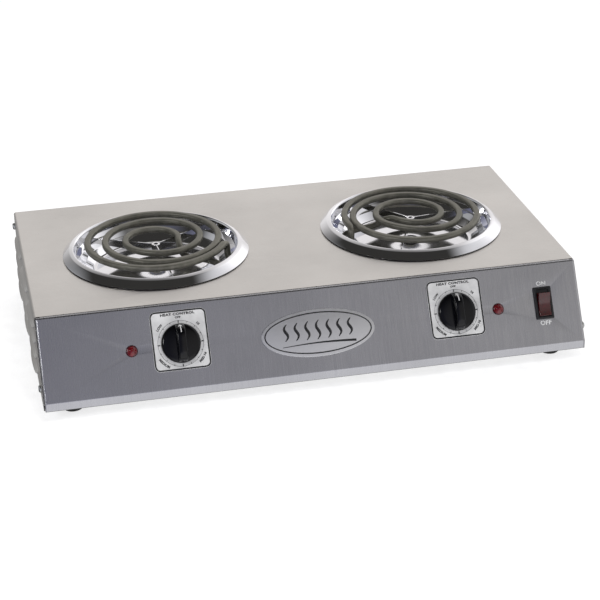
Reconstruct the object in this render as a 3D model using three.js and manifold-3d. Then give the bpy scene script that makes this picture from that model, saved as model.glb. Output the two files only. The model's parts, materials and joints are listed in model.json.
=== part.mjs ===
// Two-burner hot plate, in millimetres, +Z up, front towards -Y.
//
// While it is built, Y = 0 is the bend between the flat top and the sloping front panel,
// and Z = 0 is the worktop. The last lines move the whole part so that its box is centred.

import * as THREE from 'three';
import { mergeVertices } from 'three/addons/utils/BufferGeometryUtils.js';
import Module from 'manifold-3d';

const wasm = await Module();
wasm.setup();

const DEGREE = Math.PI / 180;
const X_AXIS = new THREE.Vector3(1, 0, 0);
const Y_AXIS = new THREE.Vector3(0, 1, 0);
const Z_AXIS = new THREE.Vector3(0, 0, 1);

// Driving dimensions of the body.
const BODY_WIDTH = 560;
const TOP_DEPTH = 279;
const SLOPE_RUN = 43;
const SLOPE_DROP = 73;
const LIP_HEIGHT = 9;
const FOOT_HEIGHT = 12;
const SHEET = 1;
const GAP = 0.3;

const BASE_Z = FOOT_HEIGHT;
const TOP_Z = BASE_Z + LIP_HEIGHT + SLOPE_DROP;
const LIP_Y = -SLOPE_RUN;
const REAR_Y = TOP_DEPTH;
const HALF_WIDTH = BODY_WIDTH / 2;
const PANEL_ANGLE = Math.atan2(SLOPE_DROP, SLOPE_RUN);
const BEND_RADIUS = 2.5;
const FLANGE = 14;
const FLANGE_X = HALF_WIDTH - SHEET - GAP;
const SEAM = 3.4;
const FLOOR_Z = BASE_Z + SHEET + GAP;

// Burners: each one's terminals leave towards the middle of the body.
const BURNERS = [
  { side: 'left', x: -140, terminalAngle: -26.5 * DEGREE },
  { side: 'right', x: 140, terminalAngle: 187.5 * DEGREE },
];
const BURNER_Y = 132.5;
const BURNER_HOLE_RADIUS = 91;
const COIL_Z = 12.2;
const COIL_HALF_HEIGHT = 3.25;
const LEG_RADIUS = 3.5;
const LEG_OFFSET = 10;
const LEG_END = 102;
const HINGE_X = 92;
const HINGE_Z = -9;

// Control panel: X across, S down the slope from the bend.
const CONTROLS = [
  { side: 'left', knobX: -139.5, pilotX: -188.5 },
  { side: 'right', knobX: 145.5, pilotX: 190.5 },
];
const KNOB_S = 40;
const DIAL_PLATE_S = 36.5;
const PILOT_S = 42;
const BADGE_S = 45;
const ROCKER_X = 239.5;
const ROCKER_S = 41.2;
const BUSHING_RADIUS = 4.8;
const PILOT_RADIUS = 3.9;
const ROCKER_BODY = { width: 15.6, length: 29.4 };

// Fixings and feet.
const SCREW_RADIUS = 1.8;
const SCREW_HOLE = 2.2;
const SIDE_SCREWS = [
  { name: 'front', y: -27, z: 31 },
  { name: 'rear', y: 270, z: 81 },
];
const FEET = [
  { name: 'front_left', x: -250, y: -16 },
  { name: 'front_right', x: 250, y: -16 },
  { name: 'rear_left', x: -250, y: 250 },
  { name: 'rear_right', x: 250, y: 250 },
];
const INLET = { x: 205, z: 42, holeRadius: 10.3 };
const EARTH = { x: 165, z: 34 };

const stainless = () => new THREE.MeshStandardMaterial({ color: 0xbdb9b3, roughness: 0.35, metalness: 1 });
const darkSteel = () => new THREE.MeshStandardMaterial({ color: 0x8c8a90, roughness: 0.4, metalness: 1 });
const zincSteel = () => new THREE.MeshStandardMaterial({ color: 0xa8a8a4, roughness: 0.45, metalness: 1 });
const chrome = () => new THREE.MeshStandardMaterial({ color: 0xdedfe2, roughness: 0.06, metalness: 1 });
const coilMetal = () => new THREE.MeshStandardMaterial({ color: 0x4a4a40, roughness: 0.5, metalness: 0.6 });
const ceramic = () => new THREE.MeshStandardMaterial({ color: 0xe6e0d2, roughness: 0.5, metalness: 0 });
const rubber = () => new THREE.MeshStandardMaterial({ color: 0x171717, roughness: 0.85, metalness: 0 });
const glossBlack = () => new THREE.MeshStandardMaterial({ color: 0x060608, roughness: 0.12, metalness: 0 });
const mattBlack = () => new THREE.MeshStandardMaterial({ color: 0x141414, roughness: 0.6, metalness: 0 });
const phenolic = () => new THREE.MeshStandardMaterial({ color: 0x4b3a2c, roughness: 0.6, metalness: 0 });
const whiteEnamel = () => new THREE.MeshStandardMaterial({ color: 0xf0f0ee, roughness: 0.3, metalness: 0.1 });
const redLens = () => new THREE.MeshStandardMaterial({ color: 0xa01018, roughness: 0.15, metalness: 0 });
const darkRed = () => new THREE.MeshStandardMaterial({ color: 0x3a0406, roughness: 0.15, metalness: 0 });

// ---------------------------------------------------------------- shape helpers

function solid(geometry) {
  const bare = geometry.index ? geometry.toNonIndexed() : geometry.clone();
  bare.deleteAttribute('normal');
  bare.deleteAttribute('uv');
  const welded = mergeVertices(bare, 1e-4);
  return new wasm.Manifold(new wasm.Mesh({
    numProp: 3,
    vertProperties: new Float32Array(welded.attributes.position.array),
    triVerts: new Uint32Array(welded.index.array),
  }));
}

function geometryOf(shape) {
  const mesh = shape.getMesh();
  const geometry = new THREE.BufferGeometry();
  geometry.setAttribute('position', new THREE.BufferAttribute(new Float32Array(mesh.vertProperties), 3));
  geometry.setIndex(new THREE.BufferAttribute(new Uint32Array(mesh.triVerts), 1));
  geometry.computeVertexNormals();
  return geometry;
}

function box(x0, x1, y0, y1, z0, z1) {
  const geometry = new THREE.BoxGeometry(x1 - x0, y1 - y0, z1 - z0);
  geometry.translate((x0 + x1) / 2, (y0 + y1) / 2, (z0 + z1) / 2);
  return solid(geometry);
}

// A cylinder along one axis, from one place on it to another.
function rod(axis, radius, from, to, centre = [0, 0], sides = 24) {
  const geometry = new THREE.CylinderGeometry(radius, radius, to - from, sides);
  geometry.translate(0, (from + to) / 2, 0);
  if (axis === 'x') geometry.rotateZ(-Math.PI / 2).translate(0, centre[0], centre[1]);
  if (axis === 'y') geometry.translate(centre[0], 0, centre[1]);
  if (axis === 'z') geometry.rotateX(Math.PI / 2).translate(centre[0], centre[1], 0);
  return solid(geometry);
}

// A round piece about Z. Its outline is [radius, height] points, anticlockwise.
function turned(outline, segments = 32) {
  const points = outline.map(([radius, height]) => new THREE.Vector2(radius, height));
  return solid(new THREE.LatheGeometry(points, segments).rotateX(Math.PI / 2));
}

function ringOutline(inner, outer, bottom, top) {
  return [[inner, bottom], [outer, bottom], [outer, top], [inner, top], [inner, bottom]];
}

function discOutline(radius, bottom, top) {
  return [[0, bottom], [radius, bottom], [radius, top], [0, top]];
}

function polygon(points) {
  return new THREE.Shape(points.map(([x, y]) => new THREE.Vector2(x, y)));
}

function roundedRectangle(width, height, radius) {
  const right = width / 2;
  const top = height / 2;
  const shape = new THREE.Shape();
  shape.moveTo(right, radius - top);
  shape.absarc(right - radius, top - radius, radius, 0, Math.PI / 2);
  shape.absarc(radius - right, top - radius, radius, Math.PI / 2, Math.PI);
  shape.absarc(radius - right, radius - top, radius, Math.PI, 1.5 * Math.PI);
  shape.absarc(right - radius, radius - top, radius, 1.5 * Math.PI, 2 * Math.PI);
  return shape;
}

function extruded(shape, depth, curveSegments = 5) {
  return new THREE.ExtrudeGeometry(shape, { depth, bevelEnabled: false, curveSegments });
}

function plate(shape, bottom, top, curveSegments) {
  return solid(extruded(shape, top - bottom, curveSegments).translate(0, 0, bottom));
}

// An outline of (Y, Z) points, carried along X.
function alongX(shape, x0, x1) {
  const turn = new THREE.Matrix4().makeBasis(Y_AXIS, Z_AXIS, X_AXIS);
  return solid(extruded(shape, x1 - x0).applyMatrix4(turn).translate(x0, 0, 0));
}

// An outline of (X, Z) points, carried along Y.
function alongY(shape, y0, y1) {
  return solid(extruded(shape, y1 - y0).rotateX(Math.PI / 2).translate(0, y1, 0));
}

// Rounds the corners of a bent sheet's path, given as [a, b, radius] points.
function bentPath(corners, steps = 4) {
  const path = [];
  corners.forEach(([a, b, radius], index) => {
    const here = new THREE.Vector2(a, b);
    if (!radius) {
      path.push(here);
      return;
    }
    const back = new THREE.Vector2(...corners[index - 1]).sub(here).normalize();
    const ahead = new THREE.Vector2(...corners[index + 1]).sub(here).normalize();
    const reach = radius / Math.tan(back.angleTo(ahead) / 2);
    const start = here.clone().addScaledVector(back, reach);
    const end = here.clone().addScaledVector(ahead, reach);
    path.push(...new THREE.QuadraticBezierCurve(start, here, end).getPoints(steps));
  });
  return path;
}

// The closed outline of a sheet that lies to the right of its path, or to the left if thickness < 0.
function sheetOutline(corners, thickness = SHEET, steps = 4) {
  const path = bentPath(corners, steps);
  const inner = path.map((point, index) => {
    const before = path[Math.max(index - 1, 0)];
    const after = path[Math.min(index + 1, path.length - 1)];
    const incoming = point.clone().sub(before).normalize();
    const outgoing = after.clone().sub(point).normalize();
    const along = incoming.clone().add(outgoing).normalize();
    const straight = index === 0 ? outgoing : incoming;
    const right = new THREE.Vector2(along.y, -along.x);
    return point.clone().addScaledVector(right, thickness / along.dot(straight));
  });
  return [...path, ...inner.reverse()];
}

function bentSheet(corners, thickness, steps) {
  return new THREE.Shape(sheetOutline(corners, thickness, steps));
}

// A round bar along a smooth path.
function bar(points, radius, steps, sides = 6) {
  const section = new THREE.Shape();
  for (let side = 0; side < sides; side += 1) {
    const angle = 2 * Math.PI * (side + 0.5) / sides;
    const corner = [radius * Math.cos(angle), radius * Math.sin(angle)];
    if (side === 0) section.moveTo(...corner);
    else section.lineTo(...corner);
  }
  const path = new THREE.CatmullRomCurve3(points.map((point) => new THREE.Vector3(...point)));
  return solid(new THREE.ExtrudeGeometry(section, { steps, extrudePath: path, bevelEnabled: false }));
}

function named(name, shape, material) {
  const mesh = new THREE.Mesh(geometryOf(shape), material);
  mesh.name = name;
  return mesh;
}

// Y on the sloping front at a height, moved back by a distance square to the slope.
function slopeY(z, inset) {
  return (z - TOP_Z) * SLOPE_RUN / SLOPE_DROP + inset / Math.sin(PANEL_ANGLE);
}

// ---------------------------------------------------------------- sheet-metal body

const LOUVRE = { length: 62, height: 9, proud: 4.4 };
const LOUVRE_COLUMNS = [42, 127, 212];
const LOUVRE_ROWS = [28, 45, 62, 79];

function ellipsoid(radiusX, radiusY, radiusZ, x, y, z) {
  return solid(new THREE.SphereGeometry(1, 8, 6).scale(radiusX, radiusY, radiusZ).translate(x, y, z));
}

// Presses one louvre out of a side of the cover: a hood that is open at its lower edge.
function pressLouvre(cover, side, y, z) {
  const face = side * HALF_WIDTH;
  const half = LOUVRE.length / 2;
  const outer = ellipsoid(LOUVRE.proud, half, LOUVRE.height, face, y, z);
  const inner = ellipsoid(LOUVRE.proud - SHEET, half - SHEET, LOUVRE.height - SHEET, face, y, z);
  const near = face - side * SHEET;
  const far = face + side * 2 * LOUVRE.proud;
  const above = box(Math.min(near, far), Math.max(near, far), y - half, y + half, z, z + LOUVRE.height);
  const hollow = inner.intersect(box(face - 9, face + 9, y - half, y + half, z - 1, z + LOUVRE.height));
  return cover.add(outer.intersect(above)).subtract(hollow);
}

function coverSideView() {
  const lipBack = LIP_Y + SEAM;
  const kneeZ = TOP_Z + (lipBack - SEAM / Math.sin(PANEL_ANGLE)) * SLOPE_DROP / SLOPE_RUN;
  const above = TOP_Z + SHEET;
  const bottom = BASE_Z + 0.5;
  return polygon([
    [slopeY(above, SEAM), above], [lipBack, kneeZ], [lipBack, bottom], [REAR_Y, bottom], [REAR_Y, above],
  ]);
}

function makeCover() {
  const wrapper = bentSheet([
    [-HALF_WIDTH, BASE_Z], [-HALF_WIDTH, TOP_Z, BEND_RADIUS], [HALF_WIDTH, TOP_Z, BEND_RADIUS],
    [HALF_WIDTH, BASE_Z],
  ]);
  let cover = alongY(wrapper, LIP_Y, REAR_Y);
  cover = cover.intersect(alongX(coverSideView(), -HALF_WIDTH, HALF_WIDTH));
  for (const burner of BURNERS) {
    const centre = [burner.x, BURNER_Y];
    cover = cover.subtract(rod('z', BURNER_HOLE_RADIUS, TOP_Z - 5, TOP_Z + 5, centre, 48));
  }
  for (const side of [-1, 1]) {
    for (const y of LOUVRE_COLUMNS) {
      for (const z of LOUVRE_ROWS) cover = pressLouvre(cover, side, y, z);
    }
  }
  for (const screw of SIDE_SCREWS) {
    cover = cover.subtract(rod('x', SCREW_HOLE, -HALF_WIDTH - 1, HALF_WIDTH + 1, [screw.y, screw.z], 12));
  }
  return named('top_cover', cover, stainless());
}

// Moves a solid from the control panel's own frame to the body's.
function fromPanel(shape) {
  const place = new THREE.Matrix4().makeRotationX(PANEL_ANGLE).setPosition(0, 0, TOP_Z);
  return solid(geometryOf(shape).applyMatrix4(place));
}

function panelCutouts() {
  let cuts = box(
    ROCKER_X - ROCKER_BODY.width / 2 - GAP, ROCKER_X + ROCKER_BODY.width / 2 + GAP,
    -ROCKER_S - ROCKER_BODY.length / 2 - GAP, -ROCKER_S + ROCKER_BODY.length / 2 + GAP, -4, 4,
  );
  for (const control of CONTROLS) {
    cuts = cuts.add(rod('z', BUSHING_RADIUS + GAP + 0.1, -4, 4, [control.knobX, -KNOB_S]));
    cuts = cuts.add(rod('z', PILOT_RADIUS + GAP + 0.1, -4, 4, [control.pilotX, -PILOT_S]));
  }
  return fromPanel(cuts);
}

function makeFrontPanel() {
  const tuckZ = TOP_Z - SHEET - GAP;
  const face = bentSheet([
    [LIP_Y + FLANGE, BASE_Z], [LIP_Y, BASE_Z, BEND_RADIUS], [LIP_Y, BASE_Z + LIP_HEIGHT, BEND_RADIUS],
    [0, TOP_Z, BEND_RADIUS], [2.8, TOP_Z], [3.2, tuckZ], [FLANGE, tuckZ],
  ]);
  let panel = alongX(face, -HALF_WIDTH, HALF_WIDTH);
  const low = BASE_Z + LIP_HEIGHT + 2;
  const high = TOP_Z - 6;
  const wing = polygon([
    [slopeY(low, SHEET / 2), low], [slopeY(low, FLANGE), low],
    [slopeY(high, FLANGE), high], [slopeY(high, SHEET / 2), high],
  ]);
  for (const x of [-FLANGE_X, FLANGE_X - SHEET]) panel = panel.add(alongX(wing, x, x + SHEET));
  const tuckedWidth = HALF_WIDTH - BEND_RADIUS - SHEET;
  for (const side of [-1, 1]) {
    const x0 = Math.min(side * tuckedWidth, side * (HALF_WIDTH + 1));
    const x1 = Math.max(side * tuckedWidth, side * (HALF_WIDTH + 1));
    panel = panel.subtract(box(x0, x1, 2.6, FLANGE + 1, tuckZ - 3, TOP_Z + 1));
    panel = panel.subtract(box(x0, x1, LIP_Y + 2.8, LIP_Y + FLANGE + 1, BASE_Z - 1, BASE_Z + 1.2));
  }
  const screw = SIDE_SCREWS[0];
  panel = panel.subtract(rod('x', SCREW_HOLE, -HALF_WIDTH, HALF_WIDTH, [screw.y, screw.z], 12));
  return named('front_panel', panel.subtract(panelCutouts()), darkSteel());
}

const REAR_SLOT = { width: 4, height: 30, pitch: 14, count: 9, centreZ: 54 };

function makeRearPanel() {
  const high = TOP_Z - SHEET - GAP;
  const face = bentSheet([
    [REAR_Y - FLANGE, BASE_Z], [REAR_Y, BASE_Z, BEND_RADIUS], [REAR_Y, high, BEND_RADIUS],
    [REAR_Y - FLANGE, high],
  ], -SHEET);
  const flangeHalf = FLANGE_X - BEND_RADIUS;
  let panel = alongX(face, -flangeHalf, flangeHalf);
  for (const side of [-1, 1]) {
    const outer = side * FLANGE_X;
    const skin = [Math.min(outer, side * (flangeHalf - 1)), Math.max(outer, side * (flangeHalf - 1))];
    const wing = [Math.min(outer, outer - side * SHEET), Math.max(outer, outer - side * SHEET)];
    panel = panel.add(box(...skin, REAR_Y - SHEET, REAR_Y, FLOOR_Z + 2.5, high - 3));
    panel = panel.add(box(...wing, REAR_Y - FLANGE, REAR_Y, FLOOR_Z + 2.5, high - 3));
  }
  const low = REAR_SLOT.centreZ - REAR_SLOT.height / 2;
  for (const centre of [BURNERS[0].x, 0]) {
    for (let slot = 0; slot < REAR_SLOT.count; slot += 1) {
      const x = centre + (slot - (REAR_SLOT.count - 1) / 2) * REAR_SLOT.pitch;
      const half = REAR_SLOT.width / 2;
      panel = panel.subtract(box(x - half, x + half, REAR_Y - 3, REAR_Y + 1, low, low + REAR_SLOT.height));
    }
  }
  panel = panel.subtract(rod('y', INLET.holeRadius, REAR_Y - 3, REAR_Y + 1, [INLET.x, INLET.z]));
  panel = panel.subtract(rod('y', SCREW_HOLE, REAR_Y - 3, REAR_Y + 1, [EARTH.x, EARTH.z], 12));
  const screw = SIDE_SCREWS[1];
  panel = panel.subtract(rod('x', SCREW_HOLE, -HALF_WIDTH, HALF_WIDTH, [screw.y, screw.z], 12));
  return named('rear_panel', panel, stainless());
}

const BASE_SLOT = { length: 110, width: 6, pitch: 22, count: 5 };

function makeBasePan() {
  const wallTop = FLOOR_Z + FLANGE;
  const tray = bentSheet([
    [-FLANGE_X, wallTop], [-FLANGE_X, FLOOR_Z, BEND_RADIUS], [FLANGE_X, FLOOR_Z, BEND_RADIUS],
    [FLANGE_X, wallTop],
  ], -SHEET);
  const edge = FLANGE_X - BEND_RADIUS - 1;
  let pan = alongY(tray, LIP_Y + 23, REAR_Y - FLANGE - 3);
  pan = pan.add(box(-edge, edge, LIP_Y + 2.5, REAR_Y - 2.5, FLOOR_Z, FLOOR_Z + SHEET));
  for (const burner of BURNERS) {
    for (let slot = 0; slot < BASE_SLOT.count; slot += 1) {
      const y = BURNER_Y + (slot - (BASE_SLOT.count - 1) / 2) * BASE_SLOT.pitch;
      const halfLength = BASE_SLOT.length / 2;
      const halfWidth = BASE_SLOT.width / 2;
      pan = pan.subtract(box(
        burner.x - halfLength, burner.x + halfLength, y - halfWidth, y + halfWidth, FLOOR_Z - 1, FLOOR_Z + 3,
      ));
    }
  }
  for (const foot of FEET) {
    pan = pan.subtract(rod('z', SCREW_HOLE, FLOOR_Z - 1, FLOOR_Z + 3, [foot.x, foot.y], 12));
  }
  return named('base_pan', pan, zincSteel());
}

const BAFFLE = { y: 33, halfWidth: 268, top: 84 };

// The upright sheet that keeps the burners' heat off the switches.
function makeHeatBaffle() {
  const low = FLOOR_Z + SHEET + GAP;
  const corners = [[BAFFLE.y - FLANGE, low], [BAFFLE.y, low, BEND_RADIUS], [BAFFLE.y, BAFFLE.top]];
  const profile = bentSheet(corners, -SHEET);
  let baffle = alongX(profile, -BAFFLE.halfWidth, BAFFLE.halfWidth);
  for (const x of [-60, 60]) {
    baffle = baffle.subtract(box(x - 12, x + 12, BAFFLE.y - 3, BAFFLE.y + 3, 60, BAFFLE.top + 1));
  }
  return named('heat_baffle', baffle, zincSteel());
}

// ---------------------------------------------------------------- feet and fixings

function makeFoot(foot) {
  const top = FLOOR_Z - GAP;
  const outline = [
    [4.8, 0], [9.2, 0], [10.2, 1], [11.8, 9], [11.8, top], [2.2, top], [2.2, 7], [4.8, 7], [4.8, 0],
  ];
  const mesh = named(`foot_${foot.name}`, turned(outline, 16), rubber());
  mesh.position.set(foot.x, foot.y, 0);
  return mesh;
}

// A pan-head screw along +Z, with its head's seat at Z = 0 and its shank going up.
function screwShape(headRadius, headHeight, length) {
  return turned([
    [0, -headHeight], [headRadius * 0.6, -headHeight], [headRadius, -headHeight * 0.45], [headRadius, 0],
    [SCREW_RADIUS, 0], [SCREW_RADIUS, length], [0, length],
  ], 10);
}

function makeFootScrew(foot) {
  const mesh = named(`foot_screw_${foot.name}`, screwShape(4.3, 3, 12), zincSteel());
  mesh.position.set(foot.x, foot.y, 7 - GAP);
  return mesh;
}

function makeSideScrew(screw, side, sideName) {
  const mesh = named(`side_screw_${screw.name}_${sideName}`, screwShape(3.8, 2.6, 9), zincSteel());
  mesh.position.set(side * (HALF_WIDTH + GAP), screw.y, screw.z);
  mesh.rotation.y = -side * Math.PI / 2;
  return mesh;
}

// ---------------------------------------------------------------- cord inlet

function makeInlet() {
  const inlet = new THREE.Group();
  const neck = INLET.holeRadius - GAP - 0.1;
  const bushing = turned([
    [4.6, -12], [neck, -12], [neck, GAP], [13.5, GAP], [13.5, 3], [10.5, 9], [7.5, 11], [4.6, 11], [4.6, -12],
  ], 20);
  inlet.add(named('cord_inlet_bushing', bushing, mattBlack()));
  const nutBack = -SHEET - GAP;
  const nut = turned(ringOutline(neck + GAP, 14.5, nutBack - 4.5, nutBack), 24);
  inlet.add(named('cord_inlet_locknut', nut, zincSteel()));
  inlet.position.set(INLET.x, REAR_Y, INLET.z);
  inlet.rotation.x = -Math.PI / 2;
  return inlet;
}

function makeEarthScrew() {
  const mesh = named('earth_screw', screwShape(3.8, 2.6, 10), zincSteel());
  mesh.position.set(EARTH.x, REAR_Y + GAP, EARTH.z);
  mesh.rotation.x = Math.PI / 2;
  return mesh;
}

// ---------------------------------------------------------------- burners
// A burner's own frame: origin at its centre on the top sheet, terminals towards +X.

const PAN = {
  rimRadius: 98.4, crestRadius: 87.5, crestZ: 9.2,
  floorRadius: 66, floorZ: -18.9, holeRadius: 10,
};
const PAN_SHEET = 0.8;
const PAN_SEGMENTS = 48;
const LEG_WINDOW = { near: 70, far: 89.5, halfWidth: 17, low: -14.5, high: 3 };

function makeDripPan() {
  const outline = sheetOutline([
    [PAN.rimRadius, 1.2], [91, 7.8], [PAN.crestRadius, PAN.crestZ], [86, 7.6], [84.6, 1.6], [83, -0.9],
    [79, -5.2], [75, -10.6], [PAN.floorRadius, PAN.floorZ], [PAN.holeRadius, PAN.floorZ - 0.4],
  ], -PAN_SHEET);
  const closed = [...outline, outline[0]];
  const bowl = turned(closed.map((point) => [point.x, point.y]), PAN_SEGMENTS);
  const { near, far, halfWidth, low, high } = LEG_WINDOW;
  return bowl.subtract(box(near, far, -halfWidth, halfWidth, low, high));
}

const COIL_START = 8 * DEGREE;
const COIL_TURN = 1066 * DEGREE;
const COIL_STEPS = {
  left: [[-20, 40, 2.5], [250, 530, 18.7], [635, 838, 21.4], [925, 1100, 8.6]],
  right: [[-20, 40, 2.5], [250, 530, 18.7], [585, 690, 15.4], [800, 900, 3.4], [905, 1060, 13.5]],
};
const COIL_OUTER_RADIUS = 74.3;

// Rings at nearly constant radius, wound clockwise towards the centre. Each step is a smooth
// drop in radius, given as [from, to, drop]: degrees turned since the start, and millimetres.
// The two elements are bent by hand, and their inner turns differ.
class CoilCurve extends THREE.Curve {
  constructor(side) {
    super();
    this.steps = COIL_STEPS[side];
  }

  getPoint(t, target = new THREE.Vector3()) {
    const turned = t * COIL_TURN;
    let radius = COIL_OUTER_RADIUS;
    for (const [from, to, drop] of this.steps) {
      radius -= drop * THREE.MathUtils.smoothstep(turned, from * DEGREE, to * DEGREE);
    }
    const angle = COIL_START - turned;
    return target.set(radius * Math.cos(angle), radius * Math.sin(angle), COIL_Z);
  }
}

// The section of the sheathed element, flattened on top. Its first coordinate points down.
function coilSection() {
  const half = COIL_HALF_HEIGHT;
  return polygon([
    [-half, -2.2], [-half, 2.2], [-1.5, 3.6], [1.2, 3.6],
    [half, 1.6], [half, -1.6], [1.2, -3.6], [-1.5, -3.6],
  ]);
}

function makeCoil(side) {
  const curve = new CoilCurve(side);
  const spiral = solid(new THREE.ExtrudeGeometry(coilSection(), {
    steps: 84, extrudePath: curve, bevelEnabled: false,
  }));
  const outerEnd = curve.getPoint(0);
  const innerEnd = curve.getPoint(1);
  const outerLeg = bar([
    [outerEnd.x + 0.6, outerEnd.y - 4, COIL_Z - 0.4], [outerEnd.x + 0.2, outerEnd.y, COIL_Z - 0.9],
    [74.4, 12, 6], [75, 11.6, -3], [78.5, 10.6, -8],
    [84, LEG_OFFSET, HINGE_Z], [LEG_END, LEG_OFFSET, HINGE_Z],
  ], LEG_RADIUS, 14);
  const innerLeg = bar([
    [innerEnd.x - 1, innerEnd.y + 3, COIL_Z - 0.4], [innerEnd.x + 2.5, innerEnd.y - 7, COIL_Z - 0.7],
    [28.5, -4.5, 9], [32, -8.5, 3.5], [40, -9.8, 0.6], [58, -LEG_OFFSET, 0], [70, -LEG_OFFSET, -3],
    [77, -LEG_OFFSET, -7.6], [84, -LEG_OFFSET, HINGE_Z], [LEG_END, -LEG_OFFSET, HINGE_Z],
  ], LEG_RADIUS, 20);
  return spiral.add(outerLeg).add(innerLeg);
}

const SPIDER = {
  armAngles: [60, 180, 300], reach: 82.5, halfThickness: 0.8, foot: -0.2,
  hubInner: 2.2, hubOuter: 4.5, hubDepth: 9.5,
};

function makeCoilSupport() {
  const top = COIL_Z - COIL_HALF_HEIGHT - GAP;
  const bottom = top - SPIDER.hubDepth;
  let support = turned(ringOutline(SPIDER.hubInner, SPIDER.hubOuter, bottom, top), 16);
  const half = SPIDER.halfThickness;
  const strip = polygon([
    [SPIDER.hubOuter - 1, bottom], [26, bottom], [68, top - 6],
    [76, SPIDER.foot], [SPIDER.reach, SPIDER.foot], [SPIDER.reach, top], [SPIDER.hubOuter - 1, top],
  ]);
  for (const angle of SPIDER.armAngles) {
    const arm = alongY(strip, -half, half);
    support = support.add(arm.rotate([0, 0, angle]));
  }
  return support;
}

const CLAMP = { near: 86, far: 98, halfWidth: 16, low: -14.5, high: -4 };
const TRUNNION = { radius: 2.5, reach: 20.5 };

function makeCoilClamp() {
  let clamp = box(CLAMP.near, CLAMP.far, -CLAMP.halfWidth, CLAMP.halfWidth, CLAMP.low, CLAMP.high);
  clamp = clamp.add(rod('y', TRUNNION.radius, -TRUNNION.reach, TRUNNION.reach, [HINGE_X, HINGE_Z], 16));
  for (const y of [-LEG_OFFSET, LEG_OFFSET]) {
    clamp = clamp.subtract(rod('x', LEG_RADIUS + GAP + 0.1, CLAMP.near - 1, CLAMP.far + 1, [y, HINGE_Z], 20));
  }
  return clamp;
}

function makeHingeBracket() {
  const plateTop = -SHEET - GAP;
  let bracket = box(91, 128, -24, 24, plateTop - SHEET, plateTop);
  for (const y of [-19, 17]) {
    bracket = bracket.add(box(88, 98, y, y + 2, -14, plateTop));
  }
  return bracket.subtract(rod('y', TRUNNION.radius + GAP, -21, 21, [HINGE_X, HINGE_Z], 16));
}

function makeTerminalBlock() {
  const top = -2 * SHEET - 2 * GAP - GAP;
  let block = box(108, 126, -18, 18, -20, top);
  for (const y of [-LEG_OFFSET, LEG_OFFSET]) {
    block = block.subtract(box(107, 127, y - 3, y + 3, -21, -12));
  }
  return block;
}

function makeBurner({ side, x, terminalAngle }) {
  const burner = new THREE.Group();
  burner.add(named(`drip_pan_${side}`, makeDripPan(), chrome()));
  burner.add(named(`coil_element_${side}`, makeCoil(side), coilMetal()));
  burner.add(named(`coil_support_${side}`, makeCoilSupport(), stainless()));
  burner.add(named(`coil_clamp_${side}`, makeCoilClamp(), zincSteel()));
  burner.add(named(`hinge_bracket_${side}`, makeHingeBracket(), zincSteel()));
  burner.add(named(`terminal_block_${side}`, makeTerminalBlock(), ceramic()));
  burner.position.set(x, BURNER_Y, TOP_Z);
  burner.rotation.z = terminalAngle;
  return burner;
}

// ---------------------------------------------------------------- controls
// The panel's own frame: X across, Y up the slope, Z out of the panel.

const DIAL_PLATE = { width: 57, height: 60, corner: 6, thickness: 0.8, holeRadius: 9 };
const KNOB = { radius: 19.8, seat: 1.7, skirtTop: 7, barTop: 18.5, barHalfWidth: 4.4 };
const SHAFT = { radius: 3, back: -10, front: 15 };
const SWITCH = { half: 17, depth: 28 };

function makeDialPlate() {
  const blank = plate(roundedRectangle(DIAL_PLATE.width, DIAL_PLATE.height, DIAL_PLATE.corner),
    GAP, GAP + DIAL_PLATE.thickness);
  return blank.subtract(rod('z', DIAL_PLATE.holeRadius, -1, 3, [0, DIAL_PLATE_S - KNOB_S]));
}

function makeKnob() {
  const skirt = turned([
    [14, KNOB.seat], [KNOB.radius, KNOB.seat], [KNOB.radius, 4.2], [KNOB.radius - 0.6, 5.8],
    [KNOB.radius - 2.4, KNOB.skirtTop], [10, KNOB.skirtTop + 1.2], [0, KNOB.skirtTop + 1.2], [0, 6], [14, 6],
    [14, KNOB.seat],
  ], 32);
  const gripSide = new THREE.Shape();
  gripSide.moveTo(-18.6, 5);
  gripSide.quadraticCurveTo(-17.5, KNOB.barTop - 2, -8, KNOB.barTop);
  gripSide.lineTo(8, KNOB.barTop);
  gripSide.quadraticCurveTo(17.5, KNOB.barTop - 2, 18.6, 5);
  const grip = alongX(gripSide, -KNOB.barHalfWidth, KNOB.barHalfWidth);
  const underside = rod('z', 14, KNOB.seat - 1, 6, [0, 0], 32);
  const bore = rod('z', SHAFT.radius + GAP, 0, SHAFT.front + GAP, [0, 0], 16);
  return skirt.add(grip).subtract(underside).subtract(bore);
}

function makeSwitchBody() {
  const front = -SHEET - GAP;
  let body = box(-SWITCH.half, SWITCH.half, -SWITCH.half, SWITCH.half, front - SWITCH.depth, front);
  body = body.add(rod('z', BUSHING_RADIUS, front - 1, 4.5));
  for (const x of [-11, 11]) {
    for (const y of [-9, 9]) {
      const back = front - SWITCH.depth;
      body = body.add(box(x - 0.5, x + 0.5, y - 3.2, y + 3.2, back - 8, back + 1));
    }
  }
  return body.subtract(rod('z', SHAFT.radius + GAP, SHAFT.back - GAP, 6, [0, 0], 16));
}

function makeSwitchNut() {
  const hexagon = rod('z', 8, GAP, GAP + 2.6, [0, 0], 6);
  return hexagon.subtract(rod('z', BUSHING_RADIUS + GAP, -1, 5));
}

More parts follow.
